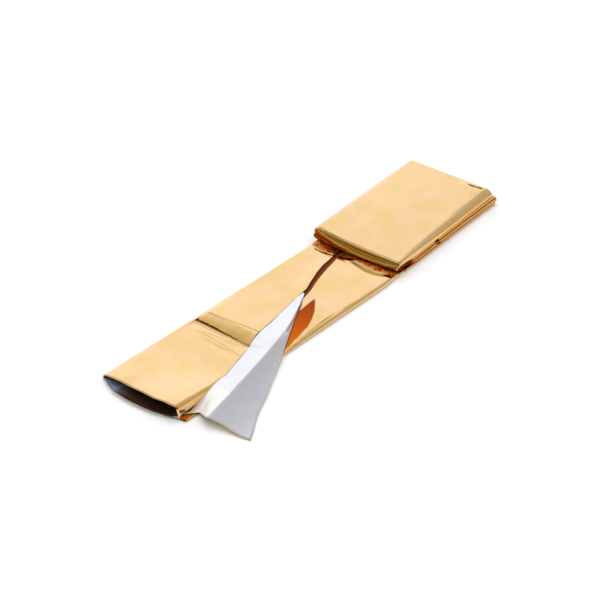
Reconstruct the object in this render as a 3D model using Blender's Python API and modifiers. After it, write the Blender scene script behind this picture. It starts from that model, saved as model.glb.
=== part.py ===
"""Emergency foil blanket, partly unfolded.

One film, gold on one face and silver on the other, is folded lengthwise into a flat strip and then back
and forth into a pack. The strip's end is pulled out of the pack and lies on the surface with its mouth open.
One inner leaf is folded out over the strip's right side as a triangular flap, silver side up.

The strip runs along X with its mouth near X = 0, Y is positive to its left, and Z is up.
"""

import math
from typing import NamedTuple

import bmesh
import bpy

MM = 0.001

# Film and folded widths, in millimetres
PLY = 1.0
PLY_GAP = 0.4
LEAF_GAP = 0.5
STRIP_WIDTH = 100.0
PACK_LENGTH = 168.0
PACK_FRONT = 297.0
PANELS = 5
CREASE_X = 115.0
CREASE_BAND = 15.0
TUCK = 4.0
TUCK_CLEAR = 4.0

# Levels of the four leaves of the strip, at the middle of the film
HALF_GAP = (PLY + PLY_GAP) / 2
BUNDLE_MID = PLY / 2 + HALF_GAP
BOTTOM_Z = PLY / 2
LOWER_GOLD_Z = BOTTOM_Z + 2 * HALF_GAP
FLAP_LEAF_Z = LOWER_GOLD_Z + PLY + LEAF_GAP
TOP_Z = FLAP_LEAF_Z + PLY + LEAF_GAP
HALF = STRIP_WIDTH / 2
OUTER_RADIUS = (TOP_Z - BOTTOM_Z) / 2
OUTER_FOLD_Y = HALF - PLY / 2 - OUTER_RADIUS
INNER_RADIUS = (FLAP_LEAF_Z - LOWER_GOLD_Z) / 2
INNER_FOLD_Y = 43.0
RIGHT_FOLD_Y = -HALF + PLY / 2 + HALF_GAP

# Segments across each leaf and round each fold
LEAF_STEPS = 9
TOP_STEPS = 8
LIP_STEPS = 4
FACET_STEPS = 3
OUTER_STEPS = 5
INNER_STEPS = 4
PANEL_STEPS = 8
TURN_STEPS = 4

# How the pack lies: the distance between its panels at the corners, and its slight turns
PITCH_FRONT_LEFT = 4.1
PITCH_FRONT_RIGHT = 2.95
PITCH_BACK_LEFT = 3.9
PITCH_BACK_RIGHT = 3.5
PACK_TURN_DEG = 3.75
TURN_PIVOT_X = 257.0
TURN_START_X = 262.0
TURN_END_X = 300.0
CORNER_DROOP = 3.4
DROOP_REACH = 14.0
DROOP_START_Y = -15.0
DROOP_SPREAD = 40.0
DROOP_FROM_PANEL = 3
PACK_CROWN = 0.25

# Open mouth, curled slit and turned-down lip of the strip's top leaf
MOUTH_LENGTH = 75.0
REACH_LENGTH = 60.0
SLIT_CURL = 16.0
LIP_WIDTH = 4.2

# Crease between two panels: its line, the lower band beside it, and how both fade out at the left fold
CREASE_RISE = 2.2
CREASE_REACH = 4.0
BAND_SHARE = 0.5
BAND_REACH = 9.0
CREASE_FADE = 6.0

# Lower gold leaf: the ridge beside the slit and the wrinkles where the strip enters the pack
RIDGE_RISE = 2.4
RIDGE_CLEAR = 2.0
RIDGE_EASE = 8.0
RIDGE_SPREAD = 45.0
RIDGE_START_X = 165.0
RIDGE_START_RUN = 50.0
RIDGE_END_X = 284.0
RIDGE_END_RUN = 14.0
WRINKLE_RISE = 1.4
WRINKLE_REACH = 6.0
WRINKLE_SPREAD = 10.0
WRINKLES = ((279.0, 1.0), (290.0, 0.8))

# Sag of the flap's outer side, gone towards its point
FLAP_SAG = 1.2
FLAP_SAG_END_X = 200.0
FLAP_SAG_RUN = 100.0

# Where the strip's rows of points lie, mouth to pack
STRIP_ROWS = (
    0, 5, 12, 21, 32, 45, 60, 76, 92, 104, 111, CREASE_X, 119, 123, 130, 139, 152, 166, 180, 192, 202, 210,
    219, 231, 245, 258, 267, 273, 279, 284, 290, PACK_FRONT,
)


class Section(NamedTuple):
    """The folded-out flap at one place along the strip: its root, crest and free edge."""

    x: float
    root_y: float
    crest_y: float
    crest_z: float
    free_y: float
    free_z: float


FLAP = (
    Section(x=0, root_y=-51, crest_y=-67, crest_z=12.0, free_y=-108, free_z=0.5),
    Section(x=31, root_y=-43, crest_y=-60, crest_z=12.5, free_y=-96, free_z=0.7),
    Section(x=68, root_y=-32, crest_y=-52, crest_z=12.5, free_y=-80, free_z=1.6),
    Section(x=97, root_y=-23, crest_y=-44.7, crest_z=12.0, free_y=-64.5, free_z=2.6),
    Section(x=131, root_y=-12.5, crest_y=-36.5, crest_z=11.5, free_y=-47, free_z=4.4),
    Section(x=170, root_y=-5.5, crest_y=-20.5, crest_z=9.5, free_y=-25.5, free_z=6.0),
    Section(x=195, root_y=-1, crest_y=-9.5, crest_z=8.0, free_y=-13, free_z=6.5),
    Section(x=210, root_y=2.5, crest_y=-1.5, crest_z=6.0, free_y=-4, free_z=6.0),
    Section(x=222, root_y=12, crest_y=9, crest_z=3.4, free_y=6, free_z=3.4),
    Section(x=246, root_y=24, crest_y=21, crest_z=3.4, free_y=18, free_z=3.4),
    Section(x=310, root_y=30, crest_y=27, crest_z=3.4, free_y=24, free_z=3.4),
)


class Edge(NamedTuple):
    """The free edge of the strip's top leaf at one place along it."""

    x: float
    edge_y: float
    lift: float
    lip: float


TOP_EDGE = (
    Edge(x=0, edge_y=-42, lift=0, lip=8.0),
    Edge(x=25, edge_y=-41.5, lift=0, lip=4.0),
    Edge(x=45, edge_y=-39.5, lift=0, lip=0),
    Edge(x=68, edge_y=-33.5, lift=0, lip=0),
    Edge(x=109, edge_y=-21.6, lift=0, lip=0),
    Edge(x=131, edge_y=-14, lift=0, lip=0),
    Edge(x=157, edge_y=-9.4, lift=0, lip=0),
    Edge(x=191, edge_y=-3, lift=0.5, lip=0),
    Edge(x=219, edge_y=0.5, lift=2.0, lip=0),
    Edge(x=230, edge_y=5, lift=2.5, lip=0),
    Edge(x=246, edge_y=11, lift=2.5, lip=0),
    Edge(x=261, edge_y=15.4, lift=2.0, lip=0),
    Edge(x=276, edge_y=17.3, lift=1.0, lip=0),
    Edge(x=310, edge_y=19, lift=0, lip=0),
)


class Mouth(NamedTuple):
    """The open end at one place across it: the top leaf's rise, and how far each edge reaches out."""

    y: float
    rise: float
    top_reach: float
    low_reach: float


MOUTH = (
    Mouth(y=-120, rise=7.5, top_reach=0, low_reach=-17),
    Mouth(y=-108, rise=7.5, top_reach=0, low_reach=-17),
    Mouth(y=-99, rise=7.5, top_reach=0, low_reach=-12),
    Mouth(y=-81, rise=7.5, top_reach=0, low_reach=-9),
    Mouth(y=-67, rise=7.5, top_reach=0, low_reach=-8),
    Mouth(y=-52, rise=7.5, top_reach=0, low_reach=-12),
    Mouth(y=-50, rise=7.5, top_reach=1, low_reach=0),
    Mouth(y=-36, rise=8.2, top_reach=3, low_reach=4),
    Mouth(y=-27, rise=8.2, top_reach=3, low_reach=8),
    Mouth(y=-15, rise=6.5, top_reach=3, low_reach=10),
    Mouth(y=0, rise=4.5, top_reach=1, low_reach=11),
    Mouth(y=15, rise=2.5, top_reach=0, low_reach=11),
    Mouth(y=28, rise=2.6, top_reach=0, low_reach=9.5),
    Mouth(y=40, rise=1.6, top_reach=0, low_reach=5),
    Mouth(y=48, rise=0, top_reach=0, low_reach=0),
)


class Turn(NamedTuple):
    """A fold of the pack: where it lies behind the pack's front, left and right, and the panel's own turn."""

    left: float
    right: float
    turn_deg: float


TURNS = (
    Turn(left=PACK_LENGTH - 3, right=PACK_LENGTH - 1, turn_deg=0.5),
    Turn(left=8, right=13, turn_deg=-0.3),
    Turn(left=PACK_LENGTH + 1, right=PACK_LENGTH, turn_deg=-0.5),
    Turn(left=0, right=0, turn_deg=0.3),
    Turn(left=PACK_LENGTH - 1, right=PACK_LENGTH - 5, turn_deg=0.2),
)


def smooth(u):
    """Ease from 0 to 1 as u goes from 0 to 1."""
    u = min(max(u, 0.0), 1.0)
    return u * u * (3 - 2 * u)


def blend(a, b, u):
    """Go from a to b in a straight line."""
    return a + (b - a) * u


def at(table, place):
    """Read a table of named rows at a place between two of them, in a straight line from row to row."""
    low = table[0]
    for high in table[1:]:
        if place <= high[0]:
            u = (place - low[0]) / (high[0] - low[0])
            return type(low)(*(blend(p, q, u) for p, q in zip(low, high)))
        low = high
    return low


def bump(x, middle, reach):
    """A rounded ridge of height 1 at the middle, gone at the reach on either side."""
    return smooth(1 - abs(x - middle) / reach)


def arc(centre, radius, start_deg, end_deg, steps):
    """Points of an arc, ends included."""
    angles = [math.radians(blend(start_deg, end_deg, k / steps)) for k in range(steps + 1)]
    return [(centre[0] + radius * math.cos(t), centre[1] + radius * math.sin(t)) for t in angles]


def top_leaf_height(x, y):
    """Height of the strip's top leaf: open mouth, panel crease and the curled-up slit."""
    edge = at(TOP_EDGE, x)
    mouth = at(MOUTH, y).rise * (1 - smooth(x / MOUTH_LENGTH))
    crease = bump(x, CREASE_X, CREASE_REACH) + BAND_SHARE * bump(x, CREASE_X + CREASE_BAND, BAND_REACH)
    crease *= CREASE_RISE * smooth((OUTER_FOLD_Y - y) / CREASE_FADE)
    slit = edge.lift * smooth(1 - (y - edge.edge_y) / SLIT_CURL)
    return TOP_Z + mouth + crease + slit


def top_leaf(x):
    """Top leaf of the strip, from its free edge and turned-down lip to the left fold."""
    edge = at(TOP_EDGE, x)
    shoulder_y = edge.edge_y + LIP_WIDTH
    points = []
    for k in range(LIP_STEPS):
        u = k / LIP_STEPS
        y = blend(edge.edge_y, shoulder_y, u * u)
        points.append((y, top_leaf_height(x, y) - edge.lip * (1 - smooth(u))))
    for k in range(TOP_STEPS):
        y = blend(shoulder_y, OUTER_FOLD_Y, k / TOP_STEPS)
        points.append((y, top_leaf_height(x, y)))
    return points


def lower_gold_rise(x, y):
    """Rise of the lower gold leaf off its rest level: a ridge beside the slit, wrinkles at the pack."""
    beside = smooth((at(TOP_EDGE, x).edge_y + RIDGE_CLEAR - y) / RIDGE_EASE)
    along = smooth((x - RIDGE_START_X) / RIDGE_START_RUN) * (1 - smooth((x - RIDGE_END_X) / RIDGE_END_RUN))
    ridge = beside * along * smooth((y + HALF) / RIDGE_SPREAD)
    wrinkles = sum(share * bump(x, line, WRINKLE_REACH) for line, share in WRINKLES)
    wrinkles *= beside * smooth((y + HALF) / WRINKLE_SPREAD)
    return RIDGE_RISE * ridge + WRINKLE_RISE * wrinkles


def flap_leaf(x):
    """Silver-side-up leaf, from the inner left fold under the top leaf out to the flap's free edge."""
    flap = at(FLAP, x)
    points = []
    for k in range(1, LEAF_STEPS):
        points.append((blend(INNER_FOLD_Y, flap.root_y, k / LEAF_STEPS), FLAP_LEAF_Z))
    for k in range(FACET_STEPS + 1):
        u = k / FACET_STEPS
        points.append((blend(flap.root_y, flap.crest_y, u), blend(FLAP_LEAF_Z, flap.crest_z, u)))
    for k in range(1, FACET_STEPS + 1):
        u = k / FACET_STEPS
        sag = FLAP_SAG * math.sin(math.pi * u) * smooth((FLAP_SAG_END_X - x) / FLAP_SAG_RUN)
        points.append((blend(flap.crest_y, flap.free_y, u), blend(flap.crest_z, flap.free_z, u) - sag))
    return points


def core_columns():
    """Columns of the two plies that run through strip and pack: side of the fold, offset from the middle."""
    low = [(blend(1, 0, k / LEAF_STEPS), -HALF_GAP) for k in range(LEAF_STEPS + 1)]
    fold = [(None, t) for t in range(1, INNER_STEPS)]
    high = [(blend(0, 1, k / LEAF_STEPS), HALF_GAP) for k in range(LEAF_STEPS + 1)]
    return low + fold + high


def column_place(column, left_y):
    """Where a core column lies across the strip, and its offset from the middle of its two plies."""
    side, offset = column
    if side is None:
        y, rise = arc((RIGHT_FOLD_Y, 0), HALF_GAP, 270, 90, INNER_STEPS)[offset]
        return y, rise
    return blend(RIGHT_FOLD_Y, left_y, side), offset


def turned(x, y, extra_deg):
    """The pack's slight turn in plan about a point in the strip, and each panel's own about its middle."""
    angle = math.radians(PACK_TURN_DEG) * smooth((x - TURN_START_X) / (TURN_END_X - TURN_START_X))
    dx = x - TURN_PIVOT_X
    px = TURN_PIVOT_X + dx * math.cos(angle) - y * math.sin(angle)
    py = dx * math.sin(angle) + y * math.cos(angle)
    extra = math.radians(extra_deg)
    middle = PACK_FRONT + PACK_LENGTH / 2
    qx = px - middle
    return middle + qx * math.cos(extra) - py * math.sin(extra), qx * math.sin(extra) + py * math.cos(extra)


def reach_out(x, y, top):
    """Move a point of the mouth's edge out or in, fading along the strip."""
    mouth = at(MOUTH, y)
    reach = mouth.top_reach if top else mouth.low_reach
    return x - reach * (1 - smooth(x / REACH_LENGTH))


def panel_height(level, back, y):
    """Height of the middle of a panel's two plies, a distance behind the pack's front."""
    u = back / PACK_LENGTH
    v = (y + HALF) / STRIP_WIDTH
    left = blend(PITCH_FRONT_LEFT, PITCH_BACK_LEFT, u)
    right = blend(PITCH_FRONT_RIGHT, PITCH_BACK_RIGHT, u)
    crown = PACK_CROWN * math.sin(math.pi * min(max(u, 0), 1)) * math.sin(math.pi * min(max(v, 0), 1))
    droop = CORNER_DROOP * smooth(1 - back / DROOP_REACH) * smooth((DROOP_START_Y - y) / DROOP_SPREAD)
    return BUNDLE_MID + level * (blend(right, left, v) + crown) - (droop if level >= DROOP_FROM_PANEL else 0)


def strip_row(x):
    """One row of points across the strip, with its four leaves."""
    top = [(reach_out(x, y, True), y, z) for y, z in top_leaf(x)]
    outer = arc((OUTER_FOLD_Y, (TOP_Z + BOTTOM_Z) / 2), OUTER_RADIUS, 90, -90, OUTER_STEPS)[:-1]
    row = top + [(x, y, z) for y, z in outer]
    for column in core_columns():
        y, offset = column_place(column, OUTER_FOLD_Y if offset_is_low(column) else INNER_FOLD_Y)
        rise = lower_gold_rise(x, y) if offset > 0 else 0
        row.append((reach_out(x, y, False), y, BUNDLE_MID + offset + rise))
    inner = arc((INNER_FOLD_Y, (FLAP_LEAF_Z + LOWER_GOLD_Z) / 2), INNER_RADIUS, -90, 90, INNER_STEPS)[1:]
    row += [(reach_out(x, y, False), y, z) for y, z in inner]
    row += [(reach_out(x, y, False), y, z) for y, z in flap_leaf(x)]
    return [(*turned(px, py, 0), pz) for px, py, pz in row]


def offset_is_low(column):
    """True for a column of the bottom ply."""
    return column[0] is not None and column[1] < 0


def pack_row(path_point, turn_deg):
    """One row of points across the pack: path_point gives x, z and the plies' direction at a place."""
    row = []
    for column in core_columns():
        y, offset = column_place(column, HALF - PLY / 2)
        x, z, nx, nz = path_point(y)
        px, py = turned(x + offset * nx, y, turn_deg)
        row.append((px, py, z + offset * nz))
    return row


def panel_rows(level):
    """Rows along one flat panel, then round the fold to the next one."""
    heading = 1 if level % 2 == 0 else -1
    start = TURNS[level - 1] if level else None
    end = TURNS[level]

    def fold_x(turn, y):
        return blend(turn.right, turn.left, (y + HALF) / STRIP_WIDTH)

    def radius(turn_level, y):
        back = fold_x(TURNS[turn_level], y)
        return (panel_height(turn_level + 1, back, y) - panel_height(turn_level, back, y)) / 2

    rows = []
    for k in range(PANEL_STEPS + 1):
        u = k / PANEL_STEPS

        def point(y, u=u):
            a = fold_x(start, y) + heading * radius(level - 1, y) if level else TUCK + TUCK_CLEAR
            b = fold_x(end, y) - heading * (radius(level, y) if level < PANELS - 1 else 0)
            back = blend(a, b, u)
            return PACK_FRONT + back, panel_height(level, back, y), 0, heading

        turn = blend(start.turn_deg if start else 0, end.turn_deg, u)
        rows.append(pack_row(point, turn))
    if level == PANELS - 1:
        return rows
    for k in range(1, TURN_STEPS):
        angle = math.pi * k / TURN_STEPS - math.pi / 2

        def point(y, angle=angle):
            back = fold_x(end, y)
            r = radius(level, y)
            centre = back - heading * r
            z = (panel_height(level, centre, y) + panel_height(level + 1, centre, y)) / 2
            dx, dz = heading * math.cos(angle), math.sin(angle)
            return PACK_FRONT + centre + r * dx, z + r * dz, -heading * dx, -heading * dz

        rows.append(pack_row(point, end.turn_deg))
    return rows


def film_surface(mesh):
    """Fill a mesh with the film's middle surface: the strip's rows, then the pack's narrower rows."""
    bm = bmesh.new()
    rows = [[bm.verts.new(p) for p in strip_row(x)] for x in STRIP_ROWS + (PACK_FRONT + TUCK,)]
    first = TOP_STEPS + LIP_STEPS + OUTER_STEPS
    last = first + len(core_columns())
    for near, far in zip(rows, rows[1:]):
        for k in range(len(near) - 1):
            bm.faces.new((near[k], near[k + 1], far[k + 1], far[k]))
    core = rows[-1][first:last]
    for level in range(PANELS):
        for points in panel_rows(level):
            row = [bm.verts.new(p) for p in points]
            for k in range(len(row) - 1):
                bm.faces.new((core[k], core[k + 1], row[k + 1], row[k]))
            core = row
    bmesh.ops.scale(bm, vec=(MM, MM, MM), verts=bm.verts)
    bm.to_mesh(mesh)
    bm.free()


def gold_film():
    """Gold face of the metallised polyester film."""
    material = bpy.data.materials.new("gold film")
    material.use_nodes = True
    shader = material.node_tree.nodes["Principled BSDF"]
    shader.inputs["Base Color"].default_value = (0.86, 0.55, 0.17, 1)
    shader.inputs["Metallic"].default_value = 1.0
    shader.inputs["Roughness"].default_value = 0.18
    return material


def blanket(collection):
    """The whole sheet, given its thickness and stood on its underside."""
    mesh = bpy.data.meshes.new("blanket")
    film_surface(mesh)
    sheet = bpy.data.objects.new("blanket", mesh)
    collection.objects.link(sheet)
    sheet.data.materials.append(gold_film())
    wall = sheet.modifiers.new("film thickness", "SOLIDIFY")
    wall.thickness = PLY * MM
    wall.offset = 0
    wall.use_even_offset = True
    wall.use_quality_normals = True
    bpy.context.view_layer.update()
    shape = sheet.evaluated_get(bpy.context.evaluated_depsgraph_get()).to_mesh()
    low = [min(v.co[axis] for v in shape.vertices) for axis in range(3)]
    high = [max(v.co[axis] for v in shape.vertices) for axis in range(3)]
    sheet.location = (-(low[0] + high[0]) / 2, -(low[1] + high[1]) / 2, -low[2])
    return sheet


for old in list(bpy.data.objects):
    bpy.data.objects.remove(old, do_unlink=True)
parts = bpy.data.collections.new("emergency foil blanket")
bpy.context.scene.collection.children.link(parts)
blanket(parts)
bpy.context.view_layer.update()
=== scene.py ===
"""Emergency foil blanket, partly unfolded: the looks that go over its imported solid.

The blanket is one metallised film, gold outside and silver inside. A strip of it is pulled out of a folded pack, the
strip's end is open, and one inner leaf is turned out over the side as a triangular flap, silver side up. Sizes are
millimetres in the strip's own frame: X runs from the open mouth to the back of the pack, Y to the strip's left.
"""

import logging
import math
from dataclasses import dataclass, field
from enum import Enum
from typing import Callable, NamedTuple

import bmesh
import bpy
import numpy as np
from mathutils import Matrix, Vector, noise


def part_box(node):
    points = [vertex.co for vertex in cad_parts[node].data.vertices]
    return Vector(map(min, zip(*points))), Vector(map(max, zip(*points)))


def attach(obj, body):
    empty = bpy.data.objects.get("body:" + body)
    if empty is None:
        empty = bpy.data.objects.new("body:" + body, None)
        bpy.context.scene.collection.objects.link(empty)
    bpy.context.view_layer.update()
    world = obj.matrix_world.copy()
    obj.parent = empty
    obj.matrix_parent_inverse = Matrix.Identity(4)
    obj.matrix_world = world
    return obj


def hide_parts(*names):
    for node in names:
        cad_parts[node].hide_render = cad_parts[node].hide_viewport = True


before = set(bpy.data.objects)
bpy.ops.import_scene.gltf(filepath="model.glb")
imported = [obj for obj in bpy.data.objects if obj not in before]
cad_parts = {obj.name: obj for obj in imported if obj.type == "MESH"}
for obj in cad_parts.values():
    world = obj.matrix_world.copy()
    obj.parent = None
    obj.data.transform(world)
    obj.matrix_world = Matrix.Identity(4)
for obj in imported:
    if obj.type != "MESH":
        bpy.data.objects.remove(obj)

MM = 0.001
NODE = "blanket"
LOG = logging.getLogger("foil_blanket")
Grid = np.ndarray


# How far a place lies inside a part painted with the film's own reflection or with shade, in millimetres, where it
# plainly doesn't or plainly does
PLAIN = -9.0
DEEP = 9.0
# The strength of a painted crease line far away from it
FAR = -40.0
# Half the width of the edge of such a painted part
SOFT_EDGE = 0.25


class Held(Enum):
    """How a sheet lies."""

    FOLDED = "folded"


class Face(Enum):
    """The two faces of the film, as material slots of its mesh."""

    GOLD = 0
    SILVER = 1


def hex_rgb(code: str) -> tuple[float, float, float, float]:
    """Turn an sRGB hex colour to linear.

    Args:
        code: Six hex digits, with or without a leading hash.

    Returns:
        Linear red, green, blue and an alpha of 1.
    """
    digits = code.lstrip("#")
    parts = [int(digits[k:k + 2], 16) / 255 for k in (0, 2, 4)]
    linear = [c / 12.92 if c <= 0.04045 else ((c + 0.055) / 1.055) ** 2.4 for c in parts]
    return linear[0], linear[1], linear[2], 1.0


def add_node(tree: bpy.types.NodeTree, kind: str, settings: dict | None = None, links: dict | None = None) -> bpy.types.Node:
    """Add one node to a tree, with its settings and what feeds it.

    Args:
        tree: The node tree.
        kind: The node's type name.
        settings: Attribute names, or input names or numbers, with their values.
        links: Input names or numbers, with the output socket that feeds each.

    Returns:
        The new node.
    """
    node = tree.nodes.new(kind)
    for name, value in (settings or {}).items():
        if isinstance(name, str) and hasattr(node, name):
            setattr(node, name, value)
        else:
            node.inputs[name].default_value = value
    for name, source in (links or {}).items():
        tree.links.new(source, node.inputs[name])
    return node


def smooth(u: Grid | float) -> Grid:
    """Ease from 0 to 1 as u goes from 0 to 1."""
    v = np.clip(u, 0.0, 1.0)
    return v * v * (3 - 2 * v)


def blend(a: Grid | float, b: Grid | float, u: Grid | float) -> Grid:
    """Go from a to b in a straight line."""
    return a + (b - a) * u


def ridge(place: Grid | float, middle: Grid | float, reach: float) -> Grid:
    """A rounded ridge of height 1 at its middle, gone at its reach on either side."""
    return smooth(1 - np.abs(place - middle) / reach)


def crease(place: Grid | float, middle: Grid | float, sharp: float, long: float) -> Grid:
    """A fold line's section: it climbs over a short run to height 1 and falls away over a long one."""
    away = place - middle
    return np.where(away < 0, smooth(1 + away / sharp), smooth(1 - away / long))


def half_turn(start_deg: float, end_deg: float, count: int) -> tuple[Grid, Grid]:
    """Cosines and sines of points round a fold.

    Args:
        start_deg: Angle of the first point.
        end_deg: Angle of the last point.
        count: Number of points.

    Returns:
        Arrays of cosines and sines.
    """
    angles = np.radians(np.linspace(start_deg, end_deg, count))
    return np.cos(angles), np.sin(angles)


def read(table: tuple, name: str, place: Grid | float) -> Grid:
    """Read one column of a table of named rows at places between its rows.

    Args:
        table: Rows, each a NamedTuple whose first value is its place.
        name: The column's name.
        place: Where to read it.

    Returns:
        The column's value at each place.
    """
    return np.interp(place, [row[0] for row in table], [getattr(row, name) for row in table])


class FlapRow(NamedTuple):
    """The turned-out flap at one place along the strip: its root, crest and free edge."""

    x: float
    root_y: float
    crest_y: float
    crest_z: float
    free_y: float
    free_z: float


class EdgeRow(NamedTuple):
    """The free edge of the strip's top leaf at one place along it."""

    x: float
    edge_y: float
    lift: float
    lip: float


class MouthRow(NamedTuple):
    """The open end at one place across it: the top leaf's rise, and how far each edge reaches out."""

    y: float
    rise: float
    top_reach: float
    low_reach: float


class GoldRow(NamedTuple):
    """The lower gold leaf at one place along the strip: its brow, the slope beside it and how far it swells."""

    x: float
    brow_y: float
    slope: float
    swell: float


class ShadeRow(NamedTuple):
    """Where reflections of the flap and the slit are painted on the lower gold leaf: the outer bound of each, and the
    flap's inner one.
    """

    x: float
    flap_y: float
    flap_top: float
    slit_y: float


class PanelRow(NamedTuple):
    """A panel of the pack: the shares of the whole height between which it lies on each side, and its shift."""

    low_left: float
    high_left: float
    low_right: float
    high_right: float
    shift: float


class TurnRow(NamedTuple):
    """A fold of the pack: how far behind the pack's front it lies on each side and bows between, and its turn in plan."""

    left: float
    right: float
    turn_deg: float
    bow: float = 0.0


class Dent(NamedTuple):
    """A straight soft trough or ridge in a leaf: its two ends in plan, its width and its height."""

    x0: float
    y0: float
    x1: float
    y1: float
    width: float
    height: float


class CreaseShade(NamedTuple):
    """A fine fold line on a leaf, painted as a line of darker or coloured shade: its two ends in plan, its half width,
    how deep its painted colour is and how it bows.
    """

    x0: float
    y0: float
    x1: float
    y1: float
    width: float
    depth: float
    bow: float = 0.0


class FrontRow(NamedTuple):
    """Painted reflection and shade on the strip before the pack at one place across it: where each painted tone starts
    along the strip.
    """

    y: float
    olive: float
    pale: float
    crumpled: float
    red: float


def dents(table: tuple, x: Grid, y: Grid) -> Grid:
    """Sum of straight soft troughs and ridges.

    Args:
        table: Dent rows.
        x: Places along the strip.
        y: Places across it.

    Returns:
        Height that they add at each place.
    """
    total = np.zeros(np.broadcast(x, y).shape)
    for dent in table:
        run = np.array([dent.x1 - dent.x0, dent.y1 - dent.y0])
        length = float(np.hypot(*run))
        along = ((x - dent.x0) * run[0] + (y - dent.y0) * run[1]) / length
        across = ((y - dent.y0) * run[0] - (x - dent.x0) * run[1]) / length
        ends = smooth(along / (0.3 * length)) * smooth((length - along) / (0.3 * length))
        total = total + dent.height * ends * smooth(1 - np.abs(across) / dent.width)
    return total


def crease_shades(table: tuple, x: Grid, y: Grid) -> tuple[Grid, Grid]:
    """Painted shade along fine fold lines on a leaf: the strongest one counts at each place.

    Args:
        table: Streak rows.
        x: Places along the strip.
        y: Places across it.

    Returns:
        How strong the line is at each place, 1 on it and below 0 outside, and how deep its painted colour is.
    """
    strong = np.full(np.broadcast(x, y).shape, FAR)
    deep = np.zeros(strong.shape)
    for line in table:
        run = np.array([line.x1 - line.x0, line.y1 - line.y0])
        length = float(np.hypot(*run))
        along = ((x - line.x0) * run[0] + (y - line.y0) * run[1]) / length
        across = ((y - line.y0) * run[0] - (x - line.x0) * run[1]) / length
        bow = line.bow * np.sin(np.pi * np.clip(along / length, 0, 1))
        ends = np.minimum(along, length - along) / 2 + 0.5
        here = np.clip(np.minimum(ends, 1.6 - 1.6 * np.abs(across - bow) / line.width), FAR, 1)
        strong, deep = np.maximum(strong, here), np.where(here > strong, line.depth, deep)
    return strong, deep


def as_inside_painted_light(strength: Grid) -> Grid:
    """Turn a strength up to 1 to a distance inside a part of painted shade or reflection that shows just as strongly.
    """
    return (np.minimum(strength, 1) - 0.5) * 2 * SOFT_EDGE


def waves(x: Grid, y: Grid, size: float, seed: float) -> Grid:
    """Gentle unevenness of a film that has been folded, from smooth noise.

    Args:
        x: Places along the strip.
        y: Places across it.
        size: Distance over which it changes.
        seed: A number that picks the pattern.

    Returns:
        Values from about -1 to 1.
    """
    px, py = np.broadcast_arrays(x / size, y / size)
    flat = [noise.noise(Vector((a, b, seed))) for a, b in zip(px.ravel().tolist(), py.ravel().tolist())]
    return np.array(flat).reshape(px.shape)


@dataclass(frozen=True)
class Layout:
    """Sizes that the strip and the pack share."""

    width: float = 100.0
    ply: float = 1.0
    ply_gap: float = 0.4
    skin: float = 0.4
    leaf_gap: float = 0.5
    pack_front: float = 297.0
    pack_length: float = 168.0
    panels: int = 5
    tuck: float = 4.0
    pack_turn_deg: float = 3.75
    pivot_x: float = 257.0
    turn_start_x: float = 262.0
    turn_end_x: float = 300.0
    mouth_reach: float = 11.0
    flap_reach: float = 108.2

    @property
    def half(self) -> float:
        """Half the strip's width."""
        return self.width / 2

    @property
    def half_gap(self) -> float:
        """From the middle of a panel's two plies to each film."""
        return (self.ply + self.ply_gap) / 2 + self.skin

    @property
    def low_z(self) -> float:
        """Height of the bottom leaf."""
        return self.ply / 2 - self.skin

    @property
    def middle_z(self) -> float:
        """Height of the middle of the two lower leaves."""
        return self.low_z + self.half_gap

    @property
    def gold_z(self) -> float:
        """Height of the lower gold leaf."""
        return self.middle_z + self.half_gap

    @property
    def flap_z(self) -> float:
        """Height of the flap's leaf under the top leaf."""
        return self.gold_z + self.ply + self.leaf_gap - self.skin

    @property
    def top_z(self) -> float:
        """Height of the top leaf."""
        return self.flap_z + self.ply + self.leaf_gap + self.skin

    def turned(self, x: Grid, y: Grid, extra_deg: Grid | float) -> tuple[Grid, Grid]:
        """Turn the pack slightly in plan, and each panel a little more about the pack's middle.

        Args:
            x: Places along the strip.
            y: Places across it.
            extra_deg: The panel's own turn.

        Returns:
            The turned places.
        """
        run = (x - self.turn_start_x) / (self.turn_end_x - self.turn_start_x)
        angle = np.radians(self.pack_turn_deg) * smooth(run)
        dx = x - self.pivot_x
        px = self.pivot_x + dx * np.cos(angle) - y * np.sin(angle)
        py = dx * np.sin(angle) + y * np.cos(angle)
        extra = np.radians(extra_deg)
        middle = self.pack_front + self.pack_length / 2
        qx = px - middle
        return middle + qx * np.cos(extra) - py * np.sin(extra), qx * np.sin(extra) + py * np.cos(extra)


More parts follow.
